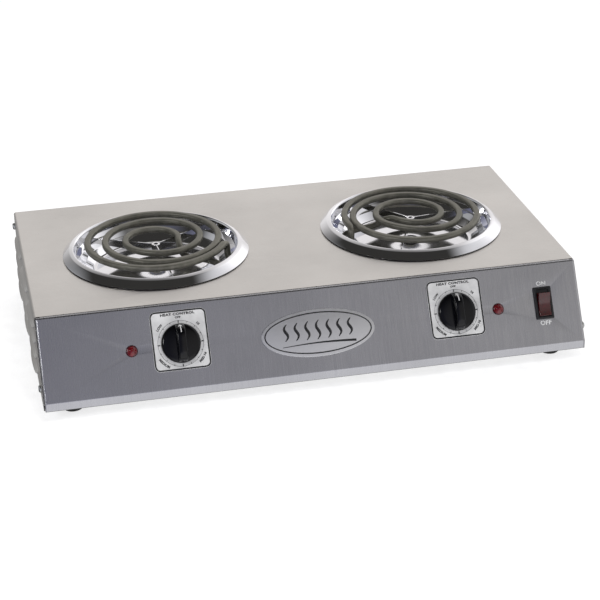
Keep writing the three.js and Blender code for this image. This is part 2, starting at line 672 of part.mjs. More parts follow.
function makeControl({ side, knobX, pilotX }) {
  const control = new THREE.Group();
  const dialPlate = named(`dial_plate_${side}`, makeDialPlate(), whiteEnamel());
  dialPlate.position.set(knobX, -DIAL_PLATE_S, 0);
  control.add(dialPlate);
  const turning = new THREE.Group();
  turning.position.set(knobX, -KNOB_S, 0);
  turning.add(named(`knob_${side}`, makeKnob(), glossBlack()));
  const shaft = rod('z', SHAFT.radius, SHAFT.back, SHAFT.front, [0, 0], 16);
  turning.add(named(`switch_shaft_${side}`, shaft, zincSteel()));
  turning.add(named(`switch_body_${side}`, makeSwitchBody(), phenolic()));
  turning.add(named(`switch_nut_${side}`, makeSwitchNut(), zincSteel()));
  control.add(turning);
  control.add(makePilot(side, pilotX));
  return control;
}

function makePilot(side, x) {
  const pilot = new THREE.Group();
  const lens = turned([[0, GAP], [5.2, GAP], [5.2, 1.6], [4.7, 3.4], [3.4, 4.9], [1.7, 5.7], [0, 5.9]], 16);
  pilot.add(named(`pilot_lens_${side}`, lens, redLens()));
  pilot.add(named(`pilot_body_${side}`, turned(discOutline(PILOT_RADIUS, -20, 0), 16), mattBlack()));
  const clip = turned(ringOutline(PILOT_RADIUS + GAP, 7.5, -SHEET - GAP - 1.2, -SHEET - GAP), 16);
  pilot.add(named(`pilot_clip_${side}`, clip, zincSteel()));
  pilot.position.set(x, -PILOT_S, 0);
  return pilot;
}

const BEZEL = { width: 19, length: 33.5, top: 2.2 };
const ROCKER = { halfWidth: 6.3, halfLength: 12, pivotZ: -2, tilt: 12 * DEGREE };

function makeRockerHousing() {
  const { width, length } = ROCKER_BODY;
  const bezel = plate(roundedRectangle(BEZEL.width, BEZEL.length, 1.2), GAP, BEZEL.top, 3);
  let housing = bezel.add(box(-width / 2, width / 2, -length / 2, length / 2, -19, 1));
  housing = housing.subtract(box(-ROCKER.halfWidth - 0.4, ROCKER.halfWidth + 0.4, -14.1, 14.1, -14, 5));
  for (const y of [-8, 0, 8]) {
    housing = housing.add(box(-3.2, 3.2, y - 0.5, y + 0.5, -27, -18));
  }
  return housing;
}

// The paddle at rest, tipped so that its lower half is pressed in, with its pivot at the origin.
function makeRocker() {
  const crest = 6;
  const rise = crest + ROCKER.halfLength * Math.tan(ROCKER.tilt);
  const side = polygon([
    [-9, -3], [9, -3], [ROCKER.halfLength - 0.5, 2], [ROCKER.halfLength, rise], [0, crest],
    [-ROCKER.halfLength, rise], [0.5 - ROCKER.halfLength, 2],
  ]);
  const paddle = alongX(side, -ROCKER.halfWidth, ROCKER.halfWidth);
  return paddle.rotate([ROCKER.tilt / DEGREE, 0, 0]);
}

function makePowerSwitch() {
  const power = new THREE.Group();
  power.add(named('power_switch_housing', makeRockerHousing(), mattBlack()));
  const rocker = named('power_rocker', makeRocker(), darkRed());
  rocker.position.z = ROCKER.pivotZ;
  power.add(rocker);
  power.position.set(ROCKER_X, -ROCKER_S, 0);
  return power;
}

function makeBadge() {
  const outline = new THREE.Shape();
  outline.absellipse(0, 0, 58.5, 24, 0, 2 * Math.PI);
  const mesh = named('front_badge', plate(outline, GAP, GAP + 1.1, 28), whiteEnamel());
  mesh.position.set(0, -BADGE_S, 0);
  return mesh;
}

function makeControlPanelParts() {
  const panel = new THREE.Group();
  for (const control of CONTROLS) panel.add(makeControl(control));
  panel.add(makePowerSwitch());
  panel.add(makeBadge());
  panel.position.z = TOP_Z;
  panel.rotation.x = PANEL_ANGLE;
  return panel;
}

// ---------------------------------------------------------------- assembly

function makeHotPlate() {
  const hotPlate = new THREE.Group();
  hotPlate.add(makeCover(), makeFrontPanel(), makeRearPanel(), makeBasePan(), makeHeatBaffle());
  for (const foot of FEET) hotPlate.add(makeFoot(foot), makeFootScrew(foot));
  for (const screw of SIDE_SCREWS) {
    hotPlate.add(makeSideScrew(screw, -1, 'left'), makeSideScrew(screw, 1, 'right'));
  }
  hotPlate.add(makeInlet(), makeEarthScrew());
  for (const burner of BURNERS) hotPlate.add(makeBurner(burner));
  hotPlate.add(makeControlPanelParts());
  return hotPlate;
}

const hotPlate = makeHotPlate();
const centre = new THREE.Box3().setFromObject(hotPlate, true).getCenter(new THREE.Vector3());
hotPlate.position.set(-centre.x, -centre.y, 0);

export default hotPlate;
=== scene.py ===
import json
import math

import bmesh
import bpy
from mathutils import Matrix, Vector


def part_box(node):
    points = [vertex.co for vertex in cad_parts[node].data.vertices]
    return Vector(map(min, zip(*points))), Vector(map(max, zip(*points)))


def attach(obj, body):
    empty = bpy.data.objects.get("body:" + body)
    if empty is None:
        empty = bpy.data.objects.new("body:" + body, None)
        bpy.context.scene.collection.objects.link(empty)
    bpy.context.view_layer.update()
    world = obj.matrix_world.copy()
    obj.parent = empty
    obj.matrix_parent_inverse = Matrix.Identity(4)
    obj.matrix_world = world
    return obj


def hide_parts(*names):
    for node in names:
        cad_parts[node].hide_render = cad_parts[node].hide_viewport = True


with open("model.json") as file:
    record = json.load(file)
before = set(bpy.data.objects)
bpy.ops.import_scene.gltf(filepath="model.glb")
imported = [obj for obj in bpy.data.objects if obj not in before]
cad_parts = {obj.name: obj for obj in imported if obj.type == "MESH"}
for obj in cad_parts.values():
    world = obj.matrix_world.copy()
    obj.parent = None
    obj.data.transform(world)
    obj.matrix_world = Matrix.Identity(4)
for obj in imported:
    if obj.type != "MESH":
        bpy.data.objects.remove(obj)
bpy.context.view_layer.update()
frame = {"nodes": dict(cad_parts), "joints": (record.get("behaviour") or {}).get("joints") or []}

# Sizes below are in millimetres, in the row frame unless a comment says otherwise.
# Meshes are scaled to metres as they are made.
MM = 0.001
JOINTS = {joint["name"]: joint for joint in frame["joints"]}


def node_box(name):
    """A CAD node's lowest and highest corners, in millimetres."""
    low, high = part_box(name)
    return low / MM, high / MM


def node_middle(name):
    """The X, Y and Z of the middle of a CAD node's box, in millimetres."""
    low, high = node_box(name)
    return tuple((low[axis] + high[axis]) / 2 for axis in range(3))


PANEL_LOW, PANEL_HIGH = node_box("front_panel")
REAR_HIGH = node_box("rear_panel")[1]
BASE_LOW, BASE_HIGH = node_box("base_pan")
HALF_WIDTH = PANEL_HIGH.x
LIP_Y = PANEL_LOW.y
BASE_Z = PANEL_LOW.z
TOP_Z = PANEL_HIGH.z
REAR_Y = REAR_HIGH.y
SLOPE_RUN = 43
LIP_HEIGHT = 9
SLOPE_DROP = TOP_Z - BASE_Z - LIP_HEIGHT
BEND_Y = LIP_Y + SLOPE_RUN
PANEL_ANGLE = math.atan2(SLOPE_DROP, SLOPE_RUN)
SHEET = 1.0
GAP = 0.3
BEND = 2.5
SEAM = 3.4
FLANGE = 14
FLANGE_X = HALF_WIDTH - SHEET - GAP
SIDES = ("left", "right")
CORNERS = ("front_left", "front_right", "rear_left", "rear_right")
PANEL_FRAME = Matrix.Translation((0, BEND_Y, TOP_Z)) @ Matrix.Rotation(PANEL_ANGLE, 4, "X")


# ------------------------------------------------------------------ material helpers

class Nodes:
    """A material's node tree, with its shader and the few kinds of node used here."""

    def __init__(self, name, **shader_values):
        self.material = bpy.data.materials.new(name)
        self.material.use_nodes = True
        self.tree = self.material.node_tree
        self.shader = self.tree.nodes["Principled BSDF"]
        for socket, value in shader_values.items():
            self.shader.inputs[socket.replace("_", " ")].default_value = value
        self.place = self.tree.nodes.new("ShaderNodeTexCoord").outputs["Object"]

    def link(self, source, node, socket):
        self.tree.links.new(source, node.inputs[socket])

    def stretched(self, scale):
        node = self.tree.nodes.new("ShaderNodeMapping")
        node.inputs["Scale"].default_value = scale
        self.link(self.place, node, "Vector")
        return node.outputs["Vector"]

    def noise(self, scale, detail=4.0, roughness=0.55):
        """Noise with a scale for each axis, in cells per metre."""
        node = self.tree.nodes.new("ShaderNodeTexNoise")
        node.inputs["Scale"].default_value = 1.0
        node.inputs["Detail"].default_value = detail
        node.inputs["Roughness"].default_value = roughness
        self.link(self.stretched(scale), node, "Vector")
        return node.outputs["Fac"]

    def spread(self, source, low, high, start=0.3, end=0.7):
        node = self.tree.nodes.new("ShaderNodeMapRange")
        for socket, value in (("From Min", start), ("From Max", end), ("To Min", low), ("To Max", high)):
            node.inputs[socket].default_value = value
        self.link(source, node, "Value")
        return node.outputs["Result"]

    def ramp(self, source, stops):
        node = self.tree.nodes.new("ShaderNodeValToRGB")
        elements = node.color_ramp.elements
        while len(elements) < len(stops):
            elements.new(0.5)
        for element, (position, colour) in zip(elements, stops):
            element.position = position
            element.color = (*colour, 1)
        self.link(source, node, "Fac")
        return node.outputs["Color"]

    def bump(self, source, distance, strength=1.0):
        node = self.tree.nodes.new("ShaderNodeBump")
        node.inputs["Distance"].default_value = distance
        node.inputs["Strength"].default_value = strength
        self.link(source, node, "Height")
        self.link(node.outputs["Normal"], self.shader, "Normal")

    def colour(self, source):
        self.link(source, self.shader, "Base Color")

    def roughness(self, source):
        self.link(source, self.shader, "Roughness")


def shade(colour, factor):
    return tuple(min(1.0, channel * factor) for channel in colour)


def brushed(name, colour, roughness, grain, cloud=0.07, depth=0.000012, uneven=0.08):
    """Brushed sheet steel. grain is the noise scale along each axis: small along the brush lines.

    depth is the height of the lines, and uneven is how far the roughness varies between them.
    """
    made = Nodes(name, Metallic=1.0)
    lines = made.noise(grain, detail=6.0, roughness=0.7)
    clouds = made.noise((9, 9, 9), detail=3.0)
    made.colour(made.ramp(clouds, [(0.3, shade(colour, 1 - cloud)), (0.7, shade(colour, 1 + cloud))]))
    made.roughness(made.spread(lines, roughness - uneven, roughness + uneven))
    made.bump(lines, depth)
    return made.material


def plated(name, colour, roughness, smudge=0.05):
    """Smooth plated metal with faint smudges and heat staining."""
    made = Nodes(name, Metallic=1.0)
    smears = made.noise((22, 22, 22), detail=5.0)
    fine = made.noise((700, 700, 700), detail=2.0)
    made.colour(made.ramp(smears, [(0.35, colour), (0.75, shade(colour, 0.9))]))
    made.roughness(made.spread(smears, roughness, roughness + smudge))
    made.bump(fine, 0.000002)
    return made.material


def moulded(name, colour, roughness, grain_depth=0.00001, **extra):
    """Moulded plastic or rubber with a fine grain and slightly uneven gloss."""
    made = Nodes(name, **extra)
    fine = made.noise((1800, 1800, 1800), detail=3.0)
    broad = made.noise((60, 60, 60), detail=4.0)
    made.colour(made.ramp(broad, [(0.3, shade(colour, 0.85)), (0.7, shade(colour, 1.15))]))
    made.roughness(made.spread(broad, roughness * 0.85, roughness * 1.2))
    made.bump(fine, grain_depth)
    return made.material


def element_sheath():
    """The dark oxide skin of a sheathed element, mottled by heat."""
    made = Nodes("element_sheath", Metallic=0.55, Specular_IOR_Level=0.45)
    patches = made.noise((70, 70, 70), detail=6.0, roughness=0.65)
    fine = made.noise((1500, 1500, 1500), detail=4.0)
    made.colour(made.ramp(patches, [
        (0.25, (0.120, 0.116, 0.094)), (0.5, (0.200, 0.194, 0.160)), (0.78, (0.300, 0.290, 0.245)),
    ]))
    made.roughness(made.spread(patches, 0.36, 0.55))
    made.bump(fine, 0.00003)
    return made.material


def lamp_lens(name, colour, depth):
    made = Nodes(
        name, Roughness=0.12, IOR=1.49, Transmission_Weight=0.45, Coat_Weight=0.6, Coat_Roughness=0.05,
    )
    swirl = made.noise((260, 260, 260), detail=3.0)
    made.colour(made.ramp(swirl, [(0.3, shade(colour, depth)), (0.7, colour)]))
    made.bump(swirl, 0.00004)
    return made.material


def make_materials():
    vertical_brush = (2600, 40, 26)
    return {
        "stainless": brushed("stainless", (0.66, 0.64, 0.61), 0.33, (60, 2600, 2600)),
        "panel_steel": brushed(
            "panel_steel", (0.50, 0.50, 0.52), 0.30, vertical_brush, depth=0.00003, uneven=0.16,
        ),
        "zinc_steel": brushed("zinc_steel", (0.56, 0.57, 0.56), 0.42, (500, 500, 500), cloud=0.14),
        "chrome": plated("chrome", (0.90, 0.90, 0.92), 0.035),
        "element_sheath": element_sheath(),
        "ceramic": moulded("ceramic", (0.80, 0.76, 0.68), 0.5, 0.00004),
        "rubber": moulded("rubber", (0.018, 0.018, 0.018), 0.75, 0.00004),
        "gloss_black": moulded(
            "gloss_black", (0.003, 0.003, 0.004), 0.12, 0.000003, Specular_IOR_Level=0.32,
        ),
        "matt_black": moulded("matt_black", (0.012, 0.012, 0.013), 0.42, 0.00002),
        "phenolic": moulded("phenolic", (0.12, 0.08, 0.05), 0.55, 0.00004),
        "white_enamel": moulded("white_enamel", (0.84, 0.84, 0.83), 0.22, 0.000004, Coat_Weight=0.3),
        "red_lens": lamp_lens("red_lens", (0.34, 0.008, 0.018), 0.5),
        "dark_red": lamp_lens("dark_red", (0.12, 0.0015, 0.003), 0.5),
        "black_print": moulded("black_print", (0.015, 0.015, 0.016), 0.35, 0.000004),
        "badge_silver": brushed(
            "badge_silver", (0.86, 0.86, 0.86), 0.5, (400, 400, 400), cloud=0.02, depth=0.000002,
        ),
        "white_print": moulded("white_print", (0.85, 0.85, 0.84), 0.35, 0.000004),
    }


MATERIALS = make_materials()


# ------------------------------------------------------------------ mesh helpers

def piece(name, bm, material, body="root", place=None, replaces=(), smooth=35):
    """Turns a mesh in millimetres into a finished object that rides on a body."""
    bmesh.ops.remove_doubles(bm, verts=bm.verts, dist=0.004)
    bmesh.ops.recalc_face_normals(bm, faces=bm.faces)
    bm.transform(Matrix.Scale(MM, 4) @ (place or Matrix.Identity(4)))
    mesh = bpy.data.meshes.new(name)
    bm.to_mesh(mesh)
    bm.free()
    mesh.materials.append(MATERIALS[material])
    obj = bpy.data.objects.new(name, mesh)
    bpy.context.scene.collection.objects.link(obj)
    mesh.shade_smooth()
    mesh.set_sharp_from_angle(angle=math.radians(smooth))
    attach(obj, body)
    if replaces:
        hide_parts(*replaces)
    return obj


def solidify(obj, thickness=SHEET, offset=-1):
    modifier = obj.modifiers.new("thickness", "SOLIDIFY")
    modifier.thickness = thickness * MM
    modifier.offset = offset
    modifier.use_even_offset = True


def bevel(obj, width, segments=3, angle=30):
    modifier = obj.modifiers.new("bevel", "BEVEL")
    modifier.width = width * MM
    modifier.segments = segments
    modifier.limit_method = "ANGLE"
    modifier.angle_limit = math.radians(angle)
    modifier.harden_normals = False


def even_normals(obj):
    modifier = obj.modifiers.new("normals", "WEIGHTED_NORMAL")
    modifier.keep_sharp = True


def arc(centre, radius, start, end, steps):
    """Points on an arc, with its angles in degrees."""
    points = []
    for step in range(steps + 1):
        angle = math.radians(start + (end - start) * step / steps)
        points.append((centre[0] + radius * math.cos(angle), centre[1] + radius * math.sin(angle)))
    return points


def circle(centre, radius, sides):
    return arc(centre, radius, 0, 360, sides)[:-1]


def rounded_rectangle(width, height, radius, centre=(0, 0), steps=6):
    right, top = width / 2 - radius, height / 2 - radius
    points = []
    for quarter, (x, y) in enumerate(((right, top), (-right, top), (-right, -top), (right, -top))):
        corner = (centre[0] + x, centre[1] + y)
        points += arc(corner, radius, 90 * quarter, 90 * quarter + 90, steps)
    return points


def rounded_path(corners, steps=6):
    """A path with rounded corners, from [a, b, radius] points."""
    path = []
    for index, (a, b, radius) in enumerate(corners):
        here = Vector((a, b))
        if not radius:
            path.append(here)
            continue
        back = (Vector(corners[index - 1][:2]) - here).normalized()
        ahead = (Vector(corners[index + 1][:2]) - here).normalized()
        reach = radius / math.tan(back.angle(ahead) / 2)
        start, end = here + back * reach, here + ahead * reach
        for step in range(steps + 1):
            t = step / steps
            path.append((1 - t) ** 2 * start + 2 * t * (1 - t) * here + t ** 2 * end)
    return path


def lathe(profile, segments, closed=False, skip=None):
    """A mesh turned about Z from (radius, height) points. skip(ring, segment) leaves a face out."""
    bm = bmesh.new()
    rings = []
    for radius, height in profile:
        if radius < 1e-6:
            rings.append([bm.verts.new((0, 0, height))] * segments)
            continue
        rings.append([bm.verts.new((x, y, height)) for x, y in circle((0, 0), radius, segments)])
    pairs = list(zip(rings, rings[1:]))
    if closed:
        pairs.append((rings[-1], rings[0]))
    for ring, (lower, upper) in enumerate(pairs):
        for segment in range(segments):
            if skip and skip(ring, segment):
                continue
            after = (segment + 1) % segments
            corners = [lower[segment], lower[after], upper[after], upper[segment]]
            bm.faces.new(dict.fromkeys(corners))
    return bm


def prism(outline, low, high, bm=None, to_point=None):
    """An extruded outline, with its flat ends. to_point maps (a, b, depth) to a corner."""
    bm = bm or bmesh.new()
    to_point = to_point or (lambda a, b, depth: (a, b, depth))
    bottom = [bm.verts.new(to_point(a, b, low)) for a, b in outline]
    top = [bm.verts.new(to_point(a, b, high)) for a, b in outline]
    bm.faces.new(list(reversed(bottom)))
    bm.faces.new(top)
    for index in range(len(outline)):
        after = (index + 1) % len(outline)
        bm.faces.new([bottom[index], bottom[after], top[after], top[index]])
    return bm


def flat_sheet(bm, outline, holes, to_point):
    """Fills a flat outline that has holes in it, in a plane that to_point maps to."""
    edges = []
    for loop in (outline, *holes):
        verts = [bm.verts.new(to_point(a, b)) for a, b in loop]
        edges += [bm.edges.new(pair) for pair in zip(verts, verts[1:] + verts[:1])]
    bmesh.ops.triangle_fill(bm, use_beauty=True, use_dissolve=False, edges=edges)


def grid(bm, rows):
    """Faces between each row of points and the next."""
    made = [[bm.verts.new(point) for point in row] for row in rows]
    for lower, upper in zip(made, made[1:]):
        for index in range(len(lower) - 1):
            bm.faces.new([lower[index], lower[index + 1], upper[index + 1], upper[index]])


def wall(bm, rings):
    """Joins matching closed outlines, each at its own height."""
    grid(bm, [[(a, b, height) for a, b in [*loop, loop[0]]] for loop, height in rings])


def sweep(points, section, up=Vector((0, 0, 1)), start=0):
    """A closed bar along a path. section(index) gives (across, above) points for each path point."""
    points = [Vector(point) for point in points]
    count = len(points)
    tangents = []
    for index in range(count):
        before, after = points[max(index - 1, 0)], points[min(index + 1, count - 1)]
        tangents.append((after - before).normalized())
    above = [None] * count
    above[start] = (up - up.dot(tangents[start]) * tangents[start]).normalized()
    for order in (range(start + 1, count), range(start - 1, -1, -1)):
        for index in order:
            last = above[index - 1] if index > start else above[index + 1]
            above[index] = (last - last.dot(tangents[index]) * tangents[index]).normalized()
    bm = bmesh.new()
    rings = []
    for index, point in enumerate(points):
        across = tangents[index].cross(above[index])
        rings.append([bm.verts.new(point + a * across + b * above[index]) for a, b in section(index)])
    for lower, upper in zip(rings, rings[1:]):
        for side in range(len(lower)):
            after = (side + 1) % len(lower)
            bm.faces.new([lower[side], lower[after], upper[after], upper[side]])
    bm.faces.new(rings[0])
    bm.faces.new(list(reversed(rings[-1])))
    return bm


def smooth_curve(points, steps):
    """A Catmull-Rom curve through the points."""
    points = [Vector(point) for point in points]
    ends = [2 * points[0] - points[1], *points, 2 * points[-1] - points[-2]]
    curve = []
    for p0, p1, p2, p3 in zip(ends, ends[1:], ends[2:], ends[3:]):
        for step in range(steps):
            t = step / steps
            curve.append(0.5 * (
                2 * p1 + (p2 - p0) * t + (2 * p0 - 5 * p1 + 4 * p2 - p3) * t ** 2
                + (3 * p1 - p0 - 3 * p2 + p3) * t ** 3
            ))
    return [*curve, points[-1]]


def seam_y(z, inset=SEAM):
    """Y on the slope at a height, moved back by a distance square to the slope."""
    return BEND_Y + (z - TOP_Z) * SLOPE_RUN / SLOPE_DROP + inset / math.sin(PANEL_ANGLE)


# ------------------------------------------------------------------ sheet-metal body

HOLE_RADIUS = 91
LOUVRE_LENGTH = 62
LOUVRE_HEIGHT = 9
LOUVRE_PROUD = 4.2
LOUVRE_COLUMNS = [BEND_Y + offset for offset in (42, 127, 212)]
LOUVRE_ROWS = (28, 45, 62, 79)
LOUVRE_STEPS = 24
SCREW_HOLE = 2.2


def louvre_arc(y, z):
    """The attached edge of a louvre, from its rear tip over its top to its front tip."""
    points = []
    for step in range(LOUVRE_STEPS + 1):
        t = math.radians(90 - 180 * step / LOUVRE_STEPS)
        fullness = max(math.cos(t), 0.0) ** 0.7
        points.append((y + LOUVRE_LENGTH / 2 * math.sin(t), z + LOUVRE_HEIGHT * fullness))
    return points


def add_louvre_hood(bm, side, y, z, rows=8):
    """The pressed hood: it leaves the sheet smoothly at its arc and ends in a free lower edge."""
    arc_points = louvre_arc(y, z)
    grid_rows = []
    for row in range(rows + 1):
        down = row / rows
        points = []
        for a, b in arc_points:
            height = (b - z) * (1 - down)
            out = LOUVRE_PROUD * ((b - z) / LOUVRE_HEIGHT) ** 0.8 * (1 - math.cos(math.pi * down)) / 2
            points.append((side * (HALF_WIDTH + out), a, z + height))
        grid_rows.append(points)
    grid(bm, grid_rows)


def side_screw_places():
    places = {}
    for end in ("front", "rear"):
        places[end] = node_middle(f"side_screw_{end}_left")[1:]
    return places


def make_cover():
    bm = bmesh.new()
    flat_x = HALF_WIDTH - BEND
    front, bottom = seam_y(TOP_Z), BASE_Z + 0.5
    holes = []
    for side in SIDES:
        holes.append(circle(node_middle(f"drip_pan_{side}")[:2], HOLE_RADIUS, 96))
    outline = [(-flat_x, front), (flat_x, front), (flat_x, REAR_Y), (-flat_x, REAR_Y)]
    flat_sheet(bm, outline, holes, lambda a, b: (a, b, TOP_Z))
    lip_back = LIP_Y + SEAM
    knee = TOP_Z + (lip_back - seam_y(TOP_Z)) * SLOPE_DROP / SLOPE_RUN
    shoulder = TOP_Z - BEND
    cuts = [louvre_arc(y, z) for y in LOUVRE_COLUMNS for z in LOUVRE_ROWS]
    cuts += [circle(place, SCREW_HOLE, 12) for place in side_screw_places().values()]
    side_outline = [
        (seam_y(shoulder), shoulder), (lip_back, knee), (lip_back, bottom),
        (REAR_Y, bottom), (REAR_Y, shoulder),
    ]
    for side in (-1, 1):
        fold = arc((0, 0), BEND, 90, 0, 6)
        rows = [[(side * (flat_x + a), seam_y(shoulder + b), shoulder + b) for a, b in fold]]
        rows.append([(side * (flat_x + a), REAR_Y, shoulder + b) for a, b in fold])
        grid(bm, rows)
        flat_sheet(bm, side_outline, cuts, lambda a, b, side=side: (side * HALF_WIDTH, a, b))
        for y in LOUVRE_COLUMNS:
            for z in LOUVRE_ROWS:
                add_louvre_hood(bm, side, y, z)
    obj = piece("cover_sheet", bm, "stainless", replaces=["top_cover"])
    orient_outwards(obj)
    solidify(obj)
    even_normals(obj)


def orient_outwards(obj):
    """Turns an open sheet's faces so that they point away from the middle of the body."""
    bm = bmesh.new()
    bm.from_mesh(obj.data)
    middle = Vector((0, (BEND_Y + REAR_Y) / 2, TOP_Z / 2)) * MM
    outwards = sum(
        face.normal.dot(face.calc_center_median() - middle) * face.calc_area() for face in bm.faces
    )
    if outwards < 0:
        bmesh.ops.reverse_faces(bm, faces=bm.faces)
    bm.to_mesh(obj.data)
    bm.free()


def panel_point(x, up_slope, out):
    return PANEL_FRAME @ Vector((x, up_slope, out))


def panel_place(joint):
    """Where a jointed control stands on the panel: its X and its distance down the slope."""
    position = Vector(JOINTS[joint]["pos_m"]) / MM
    local = PANEL_FRAME.inverted() @ position
    return local.x, -local.y


KNOBS = {side: panel_place(f"knob_{side}_turn") for side in SIDES}
ROCKER_X, ROCKER_S = panel_place("power_rocker_tilt")
ROCKER_BODY = (15.6, 29.4)


def fixture_place(node):
    """The same for a fixed part on the panel."""
    middle = node_middle(node)
    return middle[0], -(PANEL_FRAME.inverted() @ Vector(middle)).y


def make_front_panel():
    """The sloping panel: its lip, face, top tuck and side returns, all one bent sheet."""
    bm = bmesh.new()
    edge_x, flat_x, corner = FLANGE_X, FLANGE_X - 2, 2.0
    tuck_z = TOP_Z - SHEET - GAP
    lower = rounded_path([
        (LIP_Y + FLANGE, BASE_Z, 0), (LIP_Y, BASE_Z, 1.6),
        (LIP_Y, BASE_Z + LIP_HEIGHT, BEND), (BEND_Y, TOP_Z, 0),
    ])[:-1]
    upper = rounded_path([
        (LIP_Y, BASE_Z + LIP_HEIGHT, 0), (BEND_Y, TOP_Z, BEND), (BEND_Y + 2.8, TOP_Z, 0),
        (BEND_Y + 3.2, tuck_z, 0), (BEND_Y + FLANGE, tuck_z, 0),
    ])[1:]
    stations = (-edge_x, -flat_x, flat_x, edge_x)
    grid(bm, [[(x, y, z) for x in stations] for y, z in lower])
    tucked = (-flat_x + BEND, flat_x - BEND)
    grid(bm, [[(x, y, z) for x in stations] for y, z in upper[:7]])
    grid(bm, [[(x, y, z) for x in tucked] for y, z in upper[6:]])
    to_panel = PANEL_FRAME.inverted()
    low_s = -(to_panel @ Vector((0, *lower[-1]))).y
    high_s = -(to_panel @ Vector((0, *upper[0]))).y
    outline = [(-flat_x, -low_s), (flat_x, -low_s), (flat_x, -high_s), (-flat_x, -high_s)]
    holes = [rounded_rectangle(ROCKER_BODY[0] + 0.6, ROCKER_BODY[1] + 0.6, 0.6, (ROCKER_X, -ROCKER_S), 2)]
    for side in SIDES:
        holes.append(circle((KNOBS[side][0], -KNOBS[side][1]), 5.2, 32))
        pilot_x, pilot_s = fixture_place(f"pilot_lens_{side}")
        holes.append(circle((pilot_x, -pilot_s), 4.3, 32))
    flat_sheet(bm, outline, holes, lambda a, b: panel_point(a, b, 0))
    for side in (-1, 1):
        bend = [(flat_x + a, b - corner) for a, b in arc((0, 0), corner, 90, 0, 6)] + [(edge_x, -FLANGE)]
        grid(bm, [[panel_point(side * x, -s, out) for x, out in bend] for s in (low_s, high_s)])
    obj = piece("control_panel_sheet", bm, "panel_steel", replaces=["front_panel"])
    orient_outwards(obj)
    solidify(obj)
    even_normals(obj)


REAR_SLOT = (4, 30)
REAR_SLOT_Z = 54
REAR_SLOT_PITCH = 14
REAR_SLOTS = 9


def make_rear_panel():
    bm = bmesh.new()
    flat_x = FLANGE_X - BEND
    high = REAR_HIGH.z
    inlet = node_middle("cord_inlet_locknut")[::2]
    earth = node_middle("earth_screw")[::2]
    holes = [circle(inlet, 10.3, 48), circle(earth, SCREW_HOLE, 16)]
    for centre in (node_middle("drip_pan_left")[0], 0):
        for slot in range(REAR_SLOTS):
            x = centre + (slot - REAR_SLOTS // 2) * REAR_SLOT_PITCH
            holes.append(rounded_rectangle(*REAR_SLOT, REAR_SLOT[0] / 2 - 0.01, (x, REAR_SLOT_Z), 4))
    flat_sheet(bm, [
        (-flat_x, BASE_Z + BEND), (flat_x, BASE_Z + BEND), (flat_x, high - BEND), (-flat_x, high - BEND),
    ], holes, lambda a, b: (a, REAR_Y, b))
    for z, turn in ((BASE_Z, -1), (high, 1)):
        fold = arc((0, 0), BEND, 0, 90, 6)
        rows = [[(x, REAR_Y - BEND + a, z - turn * (BEND - b)) for a, b in fold] for x in (-flat_x, flat_x)]
        grid(bm, rows)
        grid(bm, [[(x, y, z) for y in (REAR_Y - BEND, REAR_Y - FLANGE)] for x in (-flat_x, flat_x)])
    for side in (-1, 1):
        fold = arc((0, 0), BEND, 90, 0, 6)
        wing = [(side * (flat_x + a), REAR_Y - BEND + b) for a, b in fold]
        wing.append((side * FLANGE_X, REAR_Y - FLANGE))
        grid(bm, [[(x, y, z) for x, y in wing] for z in (BASE_Z + BEND, high - BEND)])
    obj = piece("rear_panel_sheet", bm, "stainless", replaces=["rear_panel"])
    orient_outwards(obj)
    solidify(obj)
    even_normals(obj)


def make_base():
    bm = bmesh.new()
    floor = BASE_LOW.z
    flat_x = FLANGE_X - BEND
    holes = []
    for side in SIDES:
        x, y, _ = node_middle(f"drip_pan_{side}")
        for slot in range(5):
            holes.append(rounded_rectangle(110, 6, 2.9, (x, y + (slot - 2) * 22), 4))
    for corner in CORNERS:
        holes.append(circle(node_middle(f"foot_{corner}")[:2], SCREW_HOLE, 16))
    front, back = BASE_LOW.y, BASE_HIGH.y
    wing_front, wing_back = LIP_Y + 23, REAR_Y - FLANGE - 3
    outline = [
        (-flat_x, wing_front), (1 - flat_x, front), (flat_x - 1, front), (flat_x, wing_front),
        (flat_x, wing_back), (flat_x - 1, back), (1 - flat_x, back), (-flat_x, wing_back),
    ]
    flat_sheet(bm, outline, holes, lambda a, b: (a, b, floor))
    for side in (-1, 1):
        fold = [(side * (flat_x + a), floor + BEND + b) for a, b in arc((0, 0), BEND, 270, 360, 6)]
        fold.append((side * FLANGE_X, floor + FLANGE))
        grid(bm, [[(x, y, z) for x, z in fold] for y in (wing_front, wing_back)])
    obj = piece("base_sheet", bm, "zinc_steel", replaces=["base_pan"])
    orient_outwards(obj)
    solidify(obj)
    even_normals(obj)


# ------------------------------------------------------------------ burners
# A burner's own frame: origin at its centre on the top sheet, terminals towards +X.

def burner_frame(side):
    x, y, _ = node_middle(f"drip_pan_{side}")
    axis = JOINTS[f"coil_{side}_tilt"]["axis"]
    turn = Matrix.Rotation(math.atan2(-axis[0], axis[1]), 4, "Z")
    return Matrix.Translation((x, y, TOP_Z)) @ turn


PAN_SEGMENTS = 180
PAN_LEAST_STEP = 0.05
PAN_PROFILE = [
    (98.0, 0.5, 0), (98.4, 1.3, 0), (97.4, 2.3, 0.4), (91.5, 7.4, 5), (87.4, 9.3, 1.4), (85.9, 7.2, 1.5),
    (84.5, -0.4, 1.2), (79.4, -4.6, 1.2), (75, -10.6, 5), (66, -18.4, 8), (12, -19.0, 1.2), (10, -19.4, 0),
]
WINDOW_HALF_ANGLE = 12
WINDOW_FROM = 3.0
WINDOW_TO = -14.0


